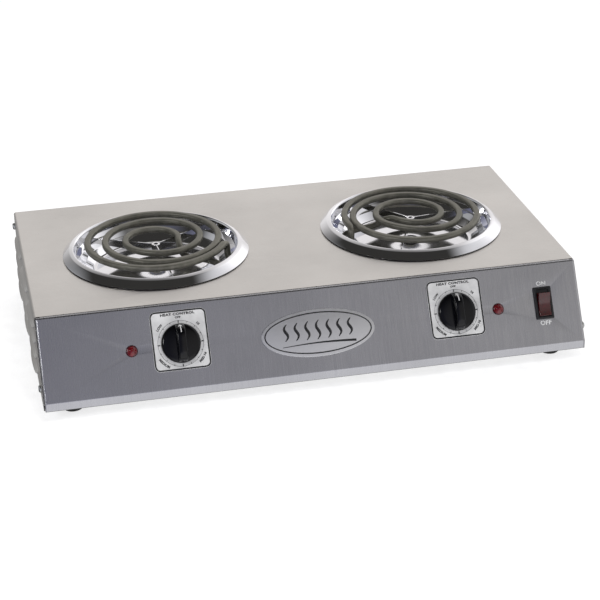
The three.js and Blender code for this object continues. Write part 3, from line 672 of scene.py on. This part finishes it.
def make_drip_pan(side, place):
    """The chromed trim ring, wall and bowl, with an open window for the element's legs."""
    points = rounded_path(PAN_PROFILE, 5)
    profile = points[:1]
    profile += [point for last, point in zip(points, points[1:]) if (point - last).length > PAN_LEAST_STEP]

    def in_window(ring, segment):
        height = (profile[ring][1] + profile[ring + 1][1]) / 2
        angle = (segment + 0.5) * 360 / PAN_SEGMENTS
        near = min(angle, 360 - angle) < WINDOW_HALF_ANGLE
        return near and WINDOW_TO < height < WINDOW_FROM and profile[ring][0] < 86

    bm = lathe(profile, PAN_SEGMENTS, skip=in_window)
    obj = piece(f"pan_{side}", bm, "chrome", place=place, replaces=[f"drip_pan_{side}"], smooth=60)
    face_up(obj)
    solidify(obj, 0.8)


def face_up(obj):
    """Turns an open sheet's faces so that most of them look up."""
    bm = bmesh.new()
    bm.from_mesh(obj.data)
    if sum(face.normal.z * face.calc_area() for face in bm.faces) < 0:
        bmesh.ops.reverse_faces(bm, faces=bm.faces)
    bm.to_mesh(obj.data)
    bm.free()


# The two elements are bent in listed steps: each step is a drop in radius between two angles turned.
COIL_Z = 12.2
COIL_START = 8
COIL_TURN = 1066
COIL_OUTER_RADIUS = 74.3
COIL_STEPS = {
    "left": [(-20, 40, 2.5), (250, 530, 18.7), (635, 838, 21.4), (925, 1100, 8.6)],
    "right": [(-20, 40, 2.5), (250, 530, 18.7), (585, 690, 15.4), (800, 900, 3.4), (905, 1060, 13.5)],
}
LEG_OFFSET = 10
HINGE_Z = -9
LEG_RADIUS = 3.4


def smoothstep(value, start, end):
    t = min(max((value - start) / (end - start), 0), 1)
    return t * t * (3 - 2 * t)


def spiral_point(side, turned):
    radius = COIL_OUTER_RADIUS
    for start, end, drop in COIL_STEPS[side]:
        radius -= drop * smoothstep(turned, start, end)
    angle = math.radians(COIL_START - turned)
    return Vector((radius * math.cos(angle), radius * math.sin(angle), COIL_Z))


def coil_path(side):
    """The element's whole path and, for each point, how far its section is flattened."""
    outer = smooth_curve([
        (102, LEG_OFFSET, HINGE_Z), (92, LEG_OFFSET, HINGE_Z), (84, LEG_OFFSET, HINGE_Z),
        (78.6, 10.8, -7.8), (75.4, 12.6, -2), (74.7, 13.6, 4), (74.2, 12.4, 9.4),
        spiral_point(side, 4), spiral_point(side, 8),
    ], 8)[:-9]
    spiral = [spiral_point(side, 4 + step * 3) for step in range(int((COIL_TURN - 10) / 3))]
    end = spiral_point(side, COIL_TURN)
    inner = smooth_curve([
        spiral_point(side, COIL_TURN - 12), spiral_point(side, COIL_TURN - 6),
        end + Vector((0.4, -1, -0.1)),
        (end.x + 3.2, end.y - 7.2, 11.2), (28.8, -4.6, 8.4), (32.5, -8.4, 4), (40, -9.8, 0.8),
        (50, -LEG_OFFSET, 0.2), (60, -LEG_OFFSET, -0.3), (70, -LEG_OFFSET, -3), (77, -LEG_OFFSET, -7.4),
        (84, -LEG_OFFSET, HINGE_Z), (92, -LEG_OFFSET, HINGE_Z), (102, -LEG_OFFSET, HINGE_Z),
    ], 8)
    path = [*outer, *spiral, *inner]
    first = len(outer)
    last = first + len(spiral)
    flatness = []
    for index in range(len(path)):
        round_again = smoothstep(index, last - 2, last + 14)
        flatness.append(smoothstep(index, first - 6, first + 4) * (1 - round_again))
    return path, flatness, first


COIL_SECTION = [
    (0, -3.25), (1.5, -2.95), (2.75, -2.1), (3.45, -0.9), (3.6, 0.3),
    (3.42, 1.6), (2.95, 2.62), (2.2, 3.16), (1.2, 3.25), (0, 3.25),
]


def make_coil(side, place):
    path, flatness, start = coil_path(side)
    outline = COIL_SECTION + [(-a, b) for a, b in reversed(COIL_SECTION[1:-1])]

    def section(index):
        points = []
        for a, b in outline:
            round_scale = LEG_RADIUS / math.hypot(a, b)
            flat = flatness[index]
            scale = flat + (1 - flat) * round_scale
            points.append((a * scale, b * scale))
        return points

    bm = sweep(path, section, start=start)
    piece(
        f"element_{side}", bm, "element_sheath", f"coil_{side}", place, [f"coil_element_{side}"], smooth=50,
    )


PIN_PROFILE = [
    (0, 101), (2.9, 101), (3.1, 101.6), (3.1, 102.6), (2.2, 103), (1.3, 103.2), (1.3, 106.2), (0, 106.5),
]


def make_element_pins(side, place):
    """The bare pins that come out of the two cold ends."""
    bm = bmesh.new()
    for y in (-LEG_OFFSET, LEG_OFFSET):
        pin = lathe(PIN_PROFILE, 20)
        pin.transform(Matrix.Translation((0, y, HINGE_Z)) @ Matrix.Rotation(math.pi / 2, 4, "Y"))
        join(bm, pin)
    piece(f"element_pins_{side}", bm, "zinc_steel", f"coil_{side}", place)


def join(bm, other):
    """Adds another mesh's faces to a mesh, and frees the other."""
    copies = {vert: bm.verts.new(vert.co) for vert in other.verts}
    for face in other.faces:
        bm.faces.new([copies[vert] for vert in face.verts])
    other.free()


ARM_ANGLES = (60, 180, 300)
ARM_TOP = 8.6
ARM_REACH = 82
HUB_RADIUS = 4.5
HUB_DEPTH = 9.4


def make_support(side, place):
    """The three-armed rest under the coil: upright strips with a notched foot, joined by a small hub."""
    bottom = ARM_TOP - HUB_DEPTH
    hub = [(2.2, bottom), (2.2, ARM_TOP), (HUB_RADIUS, ARM_TOP), (HUB_RADIUS, bottom)]
    bm = lathe(hub, 32, closed=True)
    strip_side = rounded_path([
        (HUB_RADIUS - 1, bottom, 0), (26, bottom, 5), (68, ARM_TOP - 5.8, 4), (75.5, -0.1, 1.2),
        (ARM_REACH, -0.1, 1), (ARM_REACH, ARM_TOP - 1.5, 1), (ARM_REACH - 4, ARM_TOP, 2),
        (HUB_RADIUS - 1, ARM_TOP, 0),
    ], 4)
    for angle in ARM_ANGLES:
        arm = prism(strip_side, -0.7, 0.7, to_point=lambda a, b, depth: (a, depth, b))
        arm.transform(Matrix.Rotation(math.radians(angle), 4, "Z"))
        join(bm, arm)
    obj = piece(
        f"support_{side}", bm, "chrome", f"coil_{side}", place, [f"coil_support_{side}"], 30,
    )
    bevel(obj, 0.25, 2)


# ------------------------------------------------------------------ controls
# The panel's own frame: X across, Y up the slope, Z out of the panel.

def control_frame(x, s):
    return PANEL_FRAME @ Matrix.Translation((x, -s, 0))


KNOB_SKIRT = [
    (0, 6), (14, 6), (14, 1.7), (18.9, 1.7), (19.6, 2.0), (19.8, 2.7), (19.8, 4.1), (19.5, 5.2),
    (18.8, 6.2), (17.6, 6.9), (15.5, 7.3), (11, 7.8), (5, 8.15), (0, 8.2),
]
BAR_TOP = 18.5
BAR_HALF_LENGTH = 18.6
BAR_STATIONS = 28
BAR_ROOT = 5.0
BAR_HALF_WIDTH = 4.4


def bar_height(along):
    """Height of the grip bar's crest at a distance along it."""
    t = abs(along) / BAR_HALF_LENGTH
    return 5.6 + (BAR_TOP - 5.6) * (1 - t ** 4.2) ** 0.62


def make_knob(side, place):
    body = f"knob_{side}"
    skirt = lathe(KNOB_SKIRT, 96)
    piece(f"knob_skirt_{side}", skirt, "gloss_black", body, place, [f"knob_{side}"], 35)
    bm = bmesh.new()
    rows = []
    for station in range(BAR_STATIONS + 1):
        along = BAR_HALF_LENGTH * math.sin(math.pi * (station / BAR_STATIONS - 0.5))
        crest = bar_height(along)
        rise = crest - BAR_ROOT
        fullness = rise / (BAR_TOP - BAR_ROOT)
        half = BAR_HALF_WIDTH
        foot = half + fullness
        waist = half + 0.45 * fullness
        edge = min(1.1, rise * 0.3)
        rows.append([
            (-foot, along, BAR_ROOT), (-waist, along, BAR_ROOT + rise * 0.4),
            (-half, along, crest - edge), (-half + edge * 0.3, along, crest - edge * 0.3),
            (-half + edge, along, crest), (0, along, crest + 0.12),
            (half - edge, along, crest), (half - edge * 0.3, along, crest - edge * 0.3),
            (half, along, crest - edge), (waist, along, BAR_ROOT + rise * 0.4),
            (foot, along, BAR_ROOT),
        ])
    grid(bm, rows)
    piece(f"knob_grip_{side}", bm, "gloss_black", body, place, smooth=50)
    make_pointer(side, place)


def make_pointer(side, place):
    """The white arrow laid along the grip's upper end."""
    outline = [(0, 18.9), (2.1, 16.2), (1.5, 15.7), (0.5, 16.9), (0.45, 10.0)]
    outline += [(-a, b) for a, b in reversed(outline[1:])]
    bm = bmesh.new()
    flat_sheet(bm, outline, [], lambda a, b: (a, b, 0))
    bmesh.ops.subdivide_edges(bm, edges=bm.edges, cuts=5, use_grid_fill=True)
    for vert in bm.verts:
        along = min(vert.co.y, BAR_HALF_LENGTH - 0.05)
        vert.co = Vector((vert.co.x, along, bar_height(along) + 0.2))
    piece(
        f"knob_pointer_{side}", bm, "white_print", f"knob_{side}", place, smooth=60,
    )


DIAL_WIDTH = 57
DIAL_HEIGHT = 60
DIAL_CORNER = 6
DIAL_TOP = 1.1
DIAL_BORDER = 1.5
DIAL_MARGIN = 0.28
PRINT_LIFT = 0.03
RING_RADIUS = 22.8
KNOB_TO_PLATE = -3.5


def make_dial_plate(side, knob_x, knob_s):
    plate_s = knob_s + KNOB_TO_PLATE
    place = control_frame(knob_x, plate_s)
    bm = bmesh.new()
    outline = rounded_rectangle(DIAL_WIDTH, DIAL_HEIGHT, DIAL_CORNER)
    hole = circle((0, KNOB_TO_PLATE), 9, 40)
    for height in (GAP, DIAL_TOP):
        flat_sheet(bm, outline, [hole], lambda a, b, height=height: (a, b, height))
    for loop in (outline, hole):
        wall(bm, [(loop, GAP), (loop, DIAL_TOP)])
    obj = piece(f"dial_{side}", bm, "white_enamel", place=place, replaces=[f"dial_plate_{side}"])
    bevel(obj, 0.25, 2, 60)
    make_dial_border(side, place)
    make_dial_ring(side, control_frame(knob_x, knob_s))
    make_dial_words(side, control_frame(knob_x, knob_s))


def printed(name, bm, place, ink="black_print", depth=0.05):
    """A thin raised print: the flat mesh's faces are given a small thickness."""
    obj = piece(name, bm, ink, place=place, smooth=30)
    face_out(obj, place)
    solidify(obj, depth, 1)
    return obj


def face_out(obj, place):
    normal = (place.to_3x3() @ Vector((0, 0, 1))).normalized()
    bm = bmesh.new()
    bm.from_mesh(obj.data)
    for face in bm.faces:
        if face.normal.dot(normal) < 0:
            face.normal_flip()
    bm.to_mesh(obj.data)
    bm.free()


def outline_band(bm, outer, inner, height):
    """A flat band between two matching outlines."""
    wall(bm, [(outer, height), (inner, height)])


def make_dial_border(side, place):
    bm = bmesh.new()
    loops = []
    for inset in (DIAL_MARGIN, DIAL_MARGIN + DIAL_BORDER):
        width, height = DIAL_WIDTH - 2 * inset, DIAL_HEIGHT - 2 * inset
        loops.append(rounded_rectangle(width, height, DIAL_CORNER - inset))
    outline_band(bm, *loops, DIAL_TOP + PRINT_LIFT)
    printed(f"dial_border_{side}", bm, place)


TICK_STEP = 22.5


def make_dial_ring(side, place):
    """The fine circle round the knob, its small ticks and its four heavier marks."""
    bm = bmesh.new()
    height = DIAL_TOP + PRINT_LIFT
    outline_band(bm, circle((0, 0), RING_RADIUS + 0.13, 96), circle((0, 0), RING_RADIUS - 0.13, 96), height)
    printed(f"dial_ring_{side}", bm, place)
    ticks = bmesh.new()
    for step in range(16):
        heavy = step % 4 == 0
        reach, half = (2.2, 0.5) if heavy else (1.2, 0.26)
        inner, outer = RING_RADIUS - reach, RING_RADIUS + 0.3
        turn = Matrix.Rotation(math.radians(step * TICK_STEP), 4, "Z")
        corners = [(-half, inner), (half, inner), (half, outer), (-half, outer)]
        ticks.faces.new([ticks.verts.new(turn @ Vector((a, b, height + 0.04))) for a, b in corners])
    printed(f"dial_ticks_{side}", ticks, place)


def lettering(text, size, width=1.0, spacing=1.0):
    """A text's filled outline as a flat mesh, centred on the origin, in millimetres."""
    curve = bpy.data.curves.new(text, "FONT")
    curve.body = text
    curve.size = size
    curve.space_character = spacing
    curve.align_x = "CENTER"
    curve.align_y = "CENTER"
    curve.resolution_u = 3
    curve.offset = 0.045 * size
    holder = bpy.data.objects.new(text, curve)
    bpy.context.scene.collection.objects.link(holder)
    bpy.context.view_layer.update()
    mesh = bpy.data.meshes.new_from_object(holder)
    bm = bmesh.new()
    bm.from_mesh(mesh)
    bpy.data.objects.remove(holder)
    bpy.data.curves.remove(curve)
    bpy.data.meshes.remove(mesh)
    xs = [vert.co.x for vert in bm.verts]
    ys = [vert.co.y for vert in bm.verts]
    centre = Vector(((min(xs) + max(xs)) / 2, (min(ys) + max(ys)) / 2, 0))
    for vert in bm.verts:
        vert.co = (vert.co - centre) * Vector((width, 1, 1))
    return bm


def bend_round(bm, radius, angle, upright):
    """Wraps flat lettering round a circle, centred on an angle from the top, turning clockwise."""
    for vert in bm.verts:
        distance = radius + vert.co.y * upright
        turn = math.radians(angle) + upright * vert.co.x / radius
        vert.co = Vector((distance * math.sin(turn), distance * math.cos(turn), vert.co.z))


DIAL_WORDS = [("HI", 47, 1), ("MED HI", 128, -1), ("MEDIUM", 225, -1), ("LOW", 312, 1)]


def make_dial_words(side, place):
    height = DIAL_TOP + PRINT_LIFT
    bm = bmesh.new()
    for text, line, size, width in (("HEAT CONTROL", 29.6, 3.3, 1.3), ("OFF", 26.2, 2.7, 1.15)):
        word = lettering(text, size, width, 1.08)
        word.transform(Matrix.Translation((0, line, height)))
        join(bm, word)
    for text, angle, upright in DIAL_WORDS:
        word = lettering(text, 3.2, 1.05, 1.05)
        bend_round(word, 26.4, angle, upright)
        word.transform(Matrix.Translation((0, 0, height)))
        join(bm, word)
    printed(f"dial_words_{side}", bm, place)


def make_pilot(side):
    """The red jewel: a smooth dome in a thin dark red collar."""
    place = control_frame(*fixture_place(f"pilot_lens_{side}"))
    dome = lathe([
        (0, GAP), (5.2, GAP), (5.25, 0.9), (5.1, 1.9), (4.7, 3.1), (4.0, 4.2), (2.9, 5.1),
        (1.5, 5.7), (0, 5.9),
    ], 40)
    piece(
        f"lamp_lens_{side}", dome, "red_lens", place=place, replaces=[f"pilot_lens_{side}"], smooth=60,
    )
    collar = lathe([(5.3, 0.05), (6.1, 0.05), (6.0, 0.7), (5.7, 1.1), (5.35, 1.0)], 48, closed=True)
    piece(f"lamp_collar_{side}", collar, "dark_red", place=place, smooth=40)


BEZEL_TOP = 2.2
BEZEL_SIZE = (19, 33.5)
ROCKER_HALF_WIDTH = 6.3
ROCKER_HALF_LENGTH = 12
ROCKER_TILT = 12
ROCKER_CREST = 6
ROCKER_PIVOT = -2


def make_rocker_bezel():
    place = control_frame(ROCKER_X, ROCKER_S)
    bm = bmesh.new()
    rings = []
    for inset, height, corner in ((0, 0.1, 1.2), (0, 1.4, 1.2), (0.5, 2.05, 1.0), (1.0, BEZEL_TOP, 0.9)):
        size = [side - 2 * inset for side in BEZEL_SIZE]
        rings.append((rounded_rectangle(*size, corner), height))
    opening = (2 * ROCKER_HALF_WIDTH + 0.8, 28.2)
    for inset, height in ((-0.5, BEZEL_TOP), (0, 1.7), (0, -12)):
        size = [side - 2 * inset for side in opening]
        rings.append((rounded_rectangle(*size, 0.9), height))
    wall(bm, rings)
    floor = [(a, b, -12) for a, b in rings[-1][0]]
    bm.faces.new([bm.verts.new(point) for point in floor])
    prism(rounded_rectangle(*ROCKER_BODY, 0.5), -19, 0.1, bm)
    for y in (-8, 0, 8):
        tab = [(-3.2, y - 0.4), (3.2, y - 0.4), (3.2, y + 0.4), (-3.2, y + 0.4)]
        prism(tab, -27, -19, bm)
    piece(
        "rocker_bezel", bm, "matt_black", place=place, replaces=["power_switch_housing"], smooth=40,
    )


def rocker_profile():
    """The paddle's side outline about its pivot, level: two dished halves that meet in a soft crest."""
    rise = ROCKER_CREST + ROCKER_HALF_LENGTH * math.tan(math.radians(ROCKER_TILT))
    dish = []
    for step in range(21):
        t = step / 10 - 1
        along = ROCKER_HALF_LENGTH * t
        height = ROCKER_CREST + (rise - ROCKER_CREST) * abs(t) - 0.45 * math.sin(math.pi * abs(t))
        dish.append((along, height))
    shoulder = ROCKER_HALF_LENGTH - 0.5
    return [(9, -3), (shoulder, 2), *reversed(dish), (-shoulder, 2), (-9, -3)]


def make_rocker():
    place = control_frame(ROCKER_X, ROCKER_S) @ Matrix.Translation((0, 0, ROCKER_PIVOT))
    place = place @ Matrix.Rotation(math.radians(ROCKER_TILT), 4, "X")
    half = ROCKER_HALF_WIDTH
    bm = prism(rocker_profile(), -half, half, to_point=lambda a, b, depth: (depth, a, b))
    obj = piece("rocker_paddle", bm, "dark_red", "rocker", place, ["power_rocker"], 25)
    bevel(obj, 0.5, 3, 35)


def make_switch_words():
    """The two printed words, one above and one below the rocker."""
    bm = bmesh.new()
    for text, line in (("ON", 20.4), ("OFF", -20.4)):
        word = lettering(text, 6.2, 1.05, 1.05)
        word.transform(Matrix.Translation((0, line, 0.12)))
        join(bm, word)
    printed("switch_words", bm, control_frame(ROCKER_X, ROCKER_S), "white_print")


BADGE_AXES = (58.5, 24)
BADGE_TOP = 1.4


def ellipse(scale_x, scale_y, sides=120):
    return [(scale_x * a, scale_y * b) for a, b in circle((0, 0), 1, sides)]


def make_badge():
    place = control_frame(*fixture_place("front_badge"))
    half_x, half_y = BADGE_AXES
    bm = bmesh.new()
    rings = [(0, GAP), (0, 0.9), (0.35, BADGE_TOP - 0.1), (0.9, BADGE_TOP)]
    wall(bm, [(ellipse(half_x - inset, half_y - inset), height) for inset, height in rings])
    for inset, height in (rings[0], rings[-1]):
        bm.faces.new([bm.verts.new((a, b, height)) for a, b in ellipse(half_x - inset, half_y - inset)])
    piece(
        "badge_plate", bm, "badge_silver", place=place, replaces=["front_badge"],
    )
    line = bmesh.new()
    outer = ellipse(half_x - 3.0, half_y - 3.0)
    inner = ellipse(half_x - 4.3, half_y - 4.3)
    outline_band(line, outer, inner, BADGE_TOP + PRINT_LIFT)
    printed("badge_line", line, place)
    make_heat_waves(place)


def ribbon(bm, points, half_widths, height):
    """A flat ribbon along a path, with its half width at each point."""
    points = [Vector(point) for point in points]
    left, right = [], []
    for index, point in enumerate(points):
        along = (points[min(index + 1, len(points) - 1)] - points[max(index - 1, 0)]).normalized()
        across = Vector((-along.y, along.x)) * half_widths[index]
        left.append((*(point + across), height))
        right.append((*(point - across), height))
    grid(bm, [left, right])


WAVE_COUNT = 7
WAVE_PITCH = 11


def make_heat_waves(place):
    """The badge's plain motif: a row of rising heat waves over a tapered line."""
    bm = bmesh.new()
    height = BADGE_TOP + PRINT_LIFT
    for wave in range(WAVE_COUNT):
        from_middle = wave - (WAVE_COUNT - 1) / 2
        x = from_middle * WAVE_PITCH
        reach = 11.5 - 0.5 * abs(from_middle)
        points, widths = [], []
        for step in range(25):
            t = step / 24
            sway = 2.3 * math.sin(2 * math.pi * t)
            points.append((x + sway + 3 * (t - 0.5), 3 + reach * (t - 0.5) * 1.7))
            widths.append(0.35 + 1.1 * math.sin(math.pi * t))
        ribbon(bm, points, widths, height)
    tail = [(-38 + 76 * step / 24, -11.5 + 1.5 * math.sin(math.pi * step / 24)) for step in range(25)]
    ribbon(bm, tail, [0.3 + 0.9 * step / 24 for step in range(25)], height)
    printed("badge_waves", bm, place)


# ------------------------------------------------------------------ feet, fixings and inlet

FOOT_PROFILE = [
    (4.8, 0.5), (5.3, 0), (8.7, 0), (9.6, 0.35), (10.1, 1.1), (10.7, 4), (11.4, 7.6), (11.8, 9.4),
    (11.8, 12.6), (11.4, 13), (2.2, 13), (2.2, 7), (4.6, 7), (4.8, 6.8),
]


def make_feet():
    for corner in CORNERS:
        x, y, _ = node_middle(f"foot_{corner}")
        bm = lathe(FOOT_PROFILE, 64, closed=True)
        place = Matrix.Translation((x, y, 0))
        piece(f"rubber_foot_{corner}", bm, "rubber", place=place, replaces=[f"foot_{corner}"], smooth=40)


def cross_screw(head_radius, head_height, length):
    """A pan-head screw with a cross recess: seat at Z = 0, head below it, shank above."""
    recess = []
    for arm in range(4):
        angle = math.radians(90 * arm)
        cosine, sine = math.cos(angle), math.sin(angle)
        for a, b in ((0.4, 0.4), (1.7, 0.36), (1.7, -0.36)):
            recess.append((a * cosine - b * sine, a * sine + b * cosine))
    recess = sorted(set(recess), key=lambda point: math.atan2(point[1], point[0]))
    bm = bmesh.new()
    flat_sheet(bm, circle((0, 0), head_radius * 0.55, 32), [recess], lambda a, b: (a, b, -head_height))
    deep = [(0.55 * a, 0.55 * b) for a, b in recess]
    wall(bm, [(recess, -head_height), (deep, -head_height * 0.4)])
    bm.faces.new([bm.verts.new((a, b, -head_height * 0.4)) for a, b in deep])
    crown = arc((0, 0), 1, 0, 90, 6)
    profile = [(head_radius * (0.55 + 0.45 * b), -head_height * (0.35 + 0.65 * a)) for a, b in crown]
    profile += [(head_radius, 0), (1.8, 0), (1.8, length - 1.5), (0.6, length), (0, length)]
    join(bm, lathe(profile, 32))
    return bm


def make_screw(name, bm, place):
    piece(f"{name}_head", bm, "zinc_steel", place=place, replaces=[name], smooth=40)


def make_screws():
    for end, (y, z) in side_screw_places().items():
        for sign, side in ((-1, "left"), (1, "right")):
            place = Matrix.Translation((sign * (HALF_WIDTH + GAP), y, z))
            place = place @ Matrix.Rotation(-sign * math.pi / 2, 4, "Y")
            place = place @ Matrix.Rotation(0.5 * y + sign, 4, "Z")
            name = f"side_screw_{end}_{side}"
            make_screw(name, cross_screw(3.8, 2.6, 9), place)
    for corner in CORNERS:
        name = f"foot_screw_{corner}"
        x, y, _ = node_middle(name)
        make_screw(name, cross_screw(4.3, 3, 12), Matrix.Translation((x, y, 7 - GAP)))
    x, _, z = node_middle("earth_screw")
    place = Matrix.Translation((x, REAR_Y + GAP, z)) @ Matrix.Rotation(math.pi / 2, 4, "X")
    make_screw("earth_screw", cross_screw(3.8, 2.6, 10), place)


BUSHING_PROFILE = [
    (4.9, -12), (9.5, -12), (9.9, -11.6), (9.9, 0.05), (13.1, 0.05), (13.5, 0.5), (13.5, 2.6),
    (13.2, 3.1), (12.0, 4.4), (10.6, 6.8), (10.0, 8.4), (8.6, 10.0), (7.4, 10.8), (6.2, 11),
    (5.2, 10.7), (4.6, 9.8), (4.6, -11.5),
]


def make_inlet_bushing():
    x, _, z = node_middle("cord_inlet_locknut")
    place = Matrix.Translation((x, REAR_Y, z)) @ Matrix.Rotation(-math.pi / 2, 4, "X")
    bm = lathe(BUSHING_PROFILE, 72, closed=True)
    piece("cord_bushing", bm, "matt_black", place=place, replaces=["cord_inlet_bushing"], smooth=40)


# Nodes shown as the CAD made them: they sit inside the body or under the burners.
KEPT_NODES = {
    "heat_baffle": "zinc_steel",
    "cord_inlet_locknut": "zinc_steel",
    "coil_clamp": "zinc_steel",
    "hinge_bracket": "zinc_steel",
    "terminal_block": "ceramic",
    "switch_shaft": "zinc_steel",
    "switch_body": "phenolic",
    "switch_nut": "zinc_steel",
    "pilot_body": "matt_black",
    "pilot_clip": "zinc_steel",
}


def finish_kept_nodes():
    for name, obj in frame["nodes"].items():
        kind = name.removesuffix("_left").removesuffix("_right")
        if kind not in KEPT_NODES:
            continue
        obj.data.materials.clear()
        obj.data.materials.append(MATERIALS[KEPT_NODES[kind]])
        bevel(obj, 0.35, 2, 40)


# ------------------------------------------------------------------ stage, lights and camera

def make_floor():
    bm = bmesh.new()
    bmesh.ops.create_grid(bm, x_segments=1, y_segments=1, size=6)
    mesh = bpy.data.meshes.new("floor")
    bm.to_mesh(mesh)
    bm.free()
    pale = moulded("floor_white", (0.75, 0.75, 0.75), 0.7, 0.000002)
    shader = pale.node_tree.nodes["Principled BSDF"]
    shader.inputs["Emission Color"].default_value = (1, 1, 1, 1)
    shader.inputs["Emission Strength"].default_value = 0.72
    mesh.materials.append(pale)
    floor = bpy.data.objects.new("floor", mesh)
    floor.visible_glossy = False
    bpy.context.scene.collection.objects.link(floor)


# Soft areas of the studio's surroundings: direction, how wide each starts and ends to glow
# (as cosines of the angle from its middle), and its colour.
SURROUNDINGS_DARK = (0.035, 0.034, 0.032)
SURROUNDINGS = [
    ((0.32, 0.88, 0.40), 0.50, 1.00, (0.82, 0.80, 0.80)),
    ((0.95, 0.10, 0.25), 0.60, 0.90, (0.70, 0.70, 0.72)),
    ((-0.90, 0.35, -0.05), 0.70, 0.95, (0.50, 0.51, 0.53)),
    ((0.45, -0.85, 0.30), 0.80, 1.00, (0.54, 0.53, 0.52)),
    ((-0.40, -0.90, 0.15), 0.60, 0.98, (0.17, 0.18, 0.27)),
    ((0.15, -0.80, -0.60), 0.60, 0.95, (0.95, 0.95, 0.97)),
    ((-0.05, 0.85, -0.50), 0.55, 0.95, (0.22, 0.22, 0.22)),
]


def make_surroundings():
    """A dark studio with broad soft bright areas, so that polished metal shows both."""
    world = bpy.data.worlds.new("studio")
    bpy.context.scene.world = world
    world.use_nodes = True
    tree = world.node_tree
    direction = tree.nodes.new("ShaderNodeTexCoord").outputs["Generated"]
    total = None
    for middle, start, end, colour in SURROUNDINGS:
        dot = tree.nodes.new("ShaderNodeVectorMath")
        dot.operation = "DOT_PRODUCT"
        dot.inputs[1].default_value = Vector(middle).normalized()
        tree.links.new(direction, dot.inputs[0])
        glow = tree.nodes.new("ShaderNodeMapRange")
        glow.interpolation_type = "SMOOTHSTEP"
        glow.inputs["From Min"].default_value = start
        glow.inputs["From Max"].default_value = end
        tree.links.new(dot.outputs["Value"], glow.inputs["Value"])
        add = tree.nodes.new("ShaderNodeVectorMath")
        add.operation = "MULTIPLY_ADD"
        add.inputs[1].default_value = colour
        add.inputs[2].default_value = SURROUNDINGS_DARK
        tree.links.new(glow.outputs["Result"], add.inputs[0])
        if total:
            tree.links.new(total, add.inputs[2])
        total = add.outputs["Vector"]
    tree.links.new(total, tree.nodes["Background"].inputs["Color"])


def softbox(name, place, target, size, power, colour=(1, 1, 1)):
    light = bpy.data.lights.new(name, "AREA")
    light.shape = "RECTANGLE"
    light.size, light.size_y = size
    light.energy = power
    light.color = colour
    lamp = bpy.data.objects.new(name, light)
    lamp.location = place
    lamp.rotation_euler = (Vector(target) - Vector(place)).to_track_quat("-Z", "Y").to_euler()
    bpy.context.scene.collection.objects.link(lamp)
    return lamp


def light_scene():
    make_surroundings()
    key = softbox("key", (0.10, -0.75, 1.55), (0, -0.1, 0.09), (0.6, 0.4), 5)
    key.visible_glossy = False
    softbox("left", (-1.3, -0.9, 0.9), (0, 0, 0.05), (0.35, 0.35), 5)


CAMERA_PLACE = (-0.3424, -1.6622, 0.8386)
CAMERA_YAW = -0.210782
CAMERA_PITCH = 0.447873
CAMERA_ROLL = -0.018793
CAMERA_LENS = 103.59


def add_camera():
    camera = bpy.data.cameras.new("camera")
    camera.lens = CAMERA_LENS
    camera.sensor_width = 36
    camera.clip_start = 0.05
    holder = bpy.data.objects.new("camera", camera)
    turn = Matrix.Rotation(CAMERA_YAW, 4, "Z") @ Matrix.Rotation(math.pi / 2 - CAMERA_PITCH, 4, "X")
    holder.matrix_world = Matrix.Translation(CAMERA_PLACE) @ turn @ Matrix.Rotation(CAMERA_ROLL, 4, "Z")
    bpy.context.scene.collection.objects.link(holder)
    bpy.context.scene.camera = holder
    bpy.context.scene.view_settings.view_transform = "Standard"


# ------------------------------------------------------------------ assembly

def build():
    make_cover()
    make_front_panel()
    make_rear_panel()
    make_base()
    for side in SIDES:
        place = burner_frame(side)
        make_drip_pan(side, place)
        make_coil(side, place)
        make_element_pins(side, place)
        make_support(side, place)
        make_dial_plate(side, *KNOBS[side])
        make_knob(side, control_frame(*KNOBS[side]))
        make_pilot(side)
    make_rocker_bezel()
    make_rocker()
    make_switch_words()
    make_badge()
    make_feet()
    make_screws()
    make_inlet_bushing()
    finish_kept_nodes()


build()
make_floor()
light_scene()
add_camera()
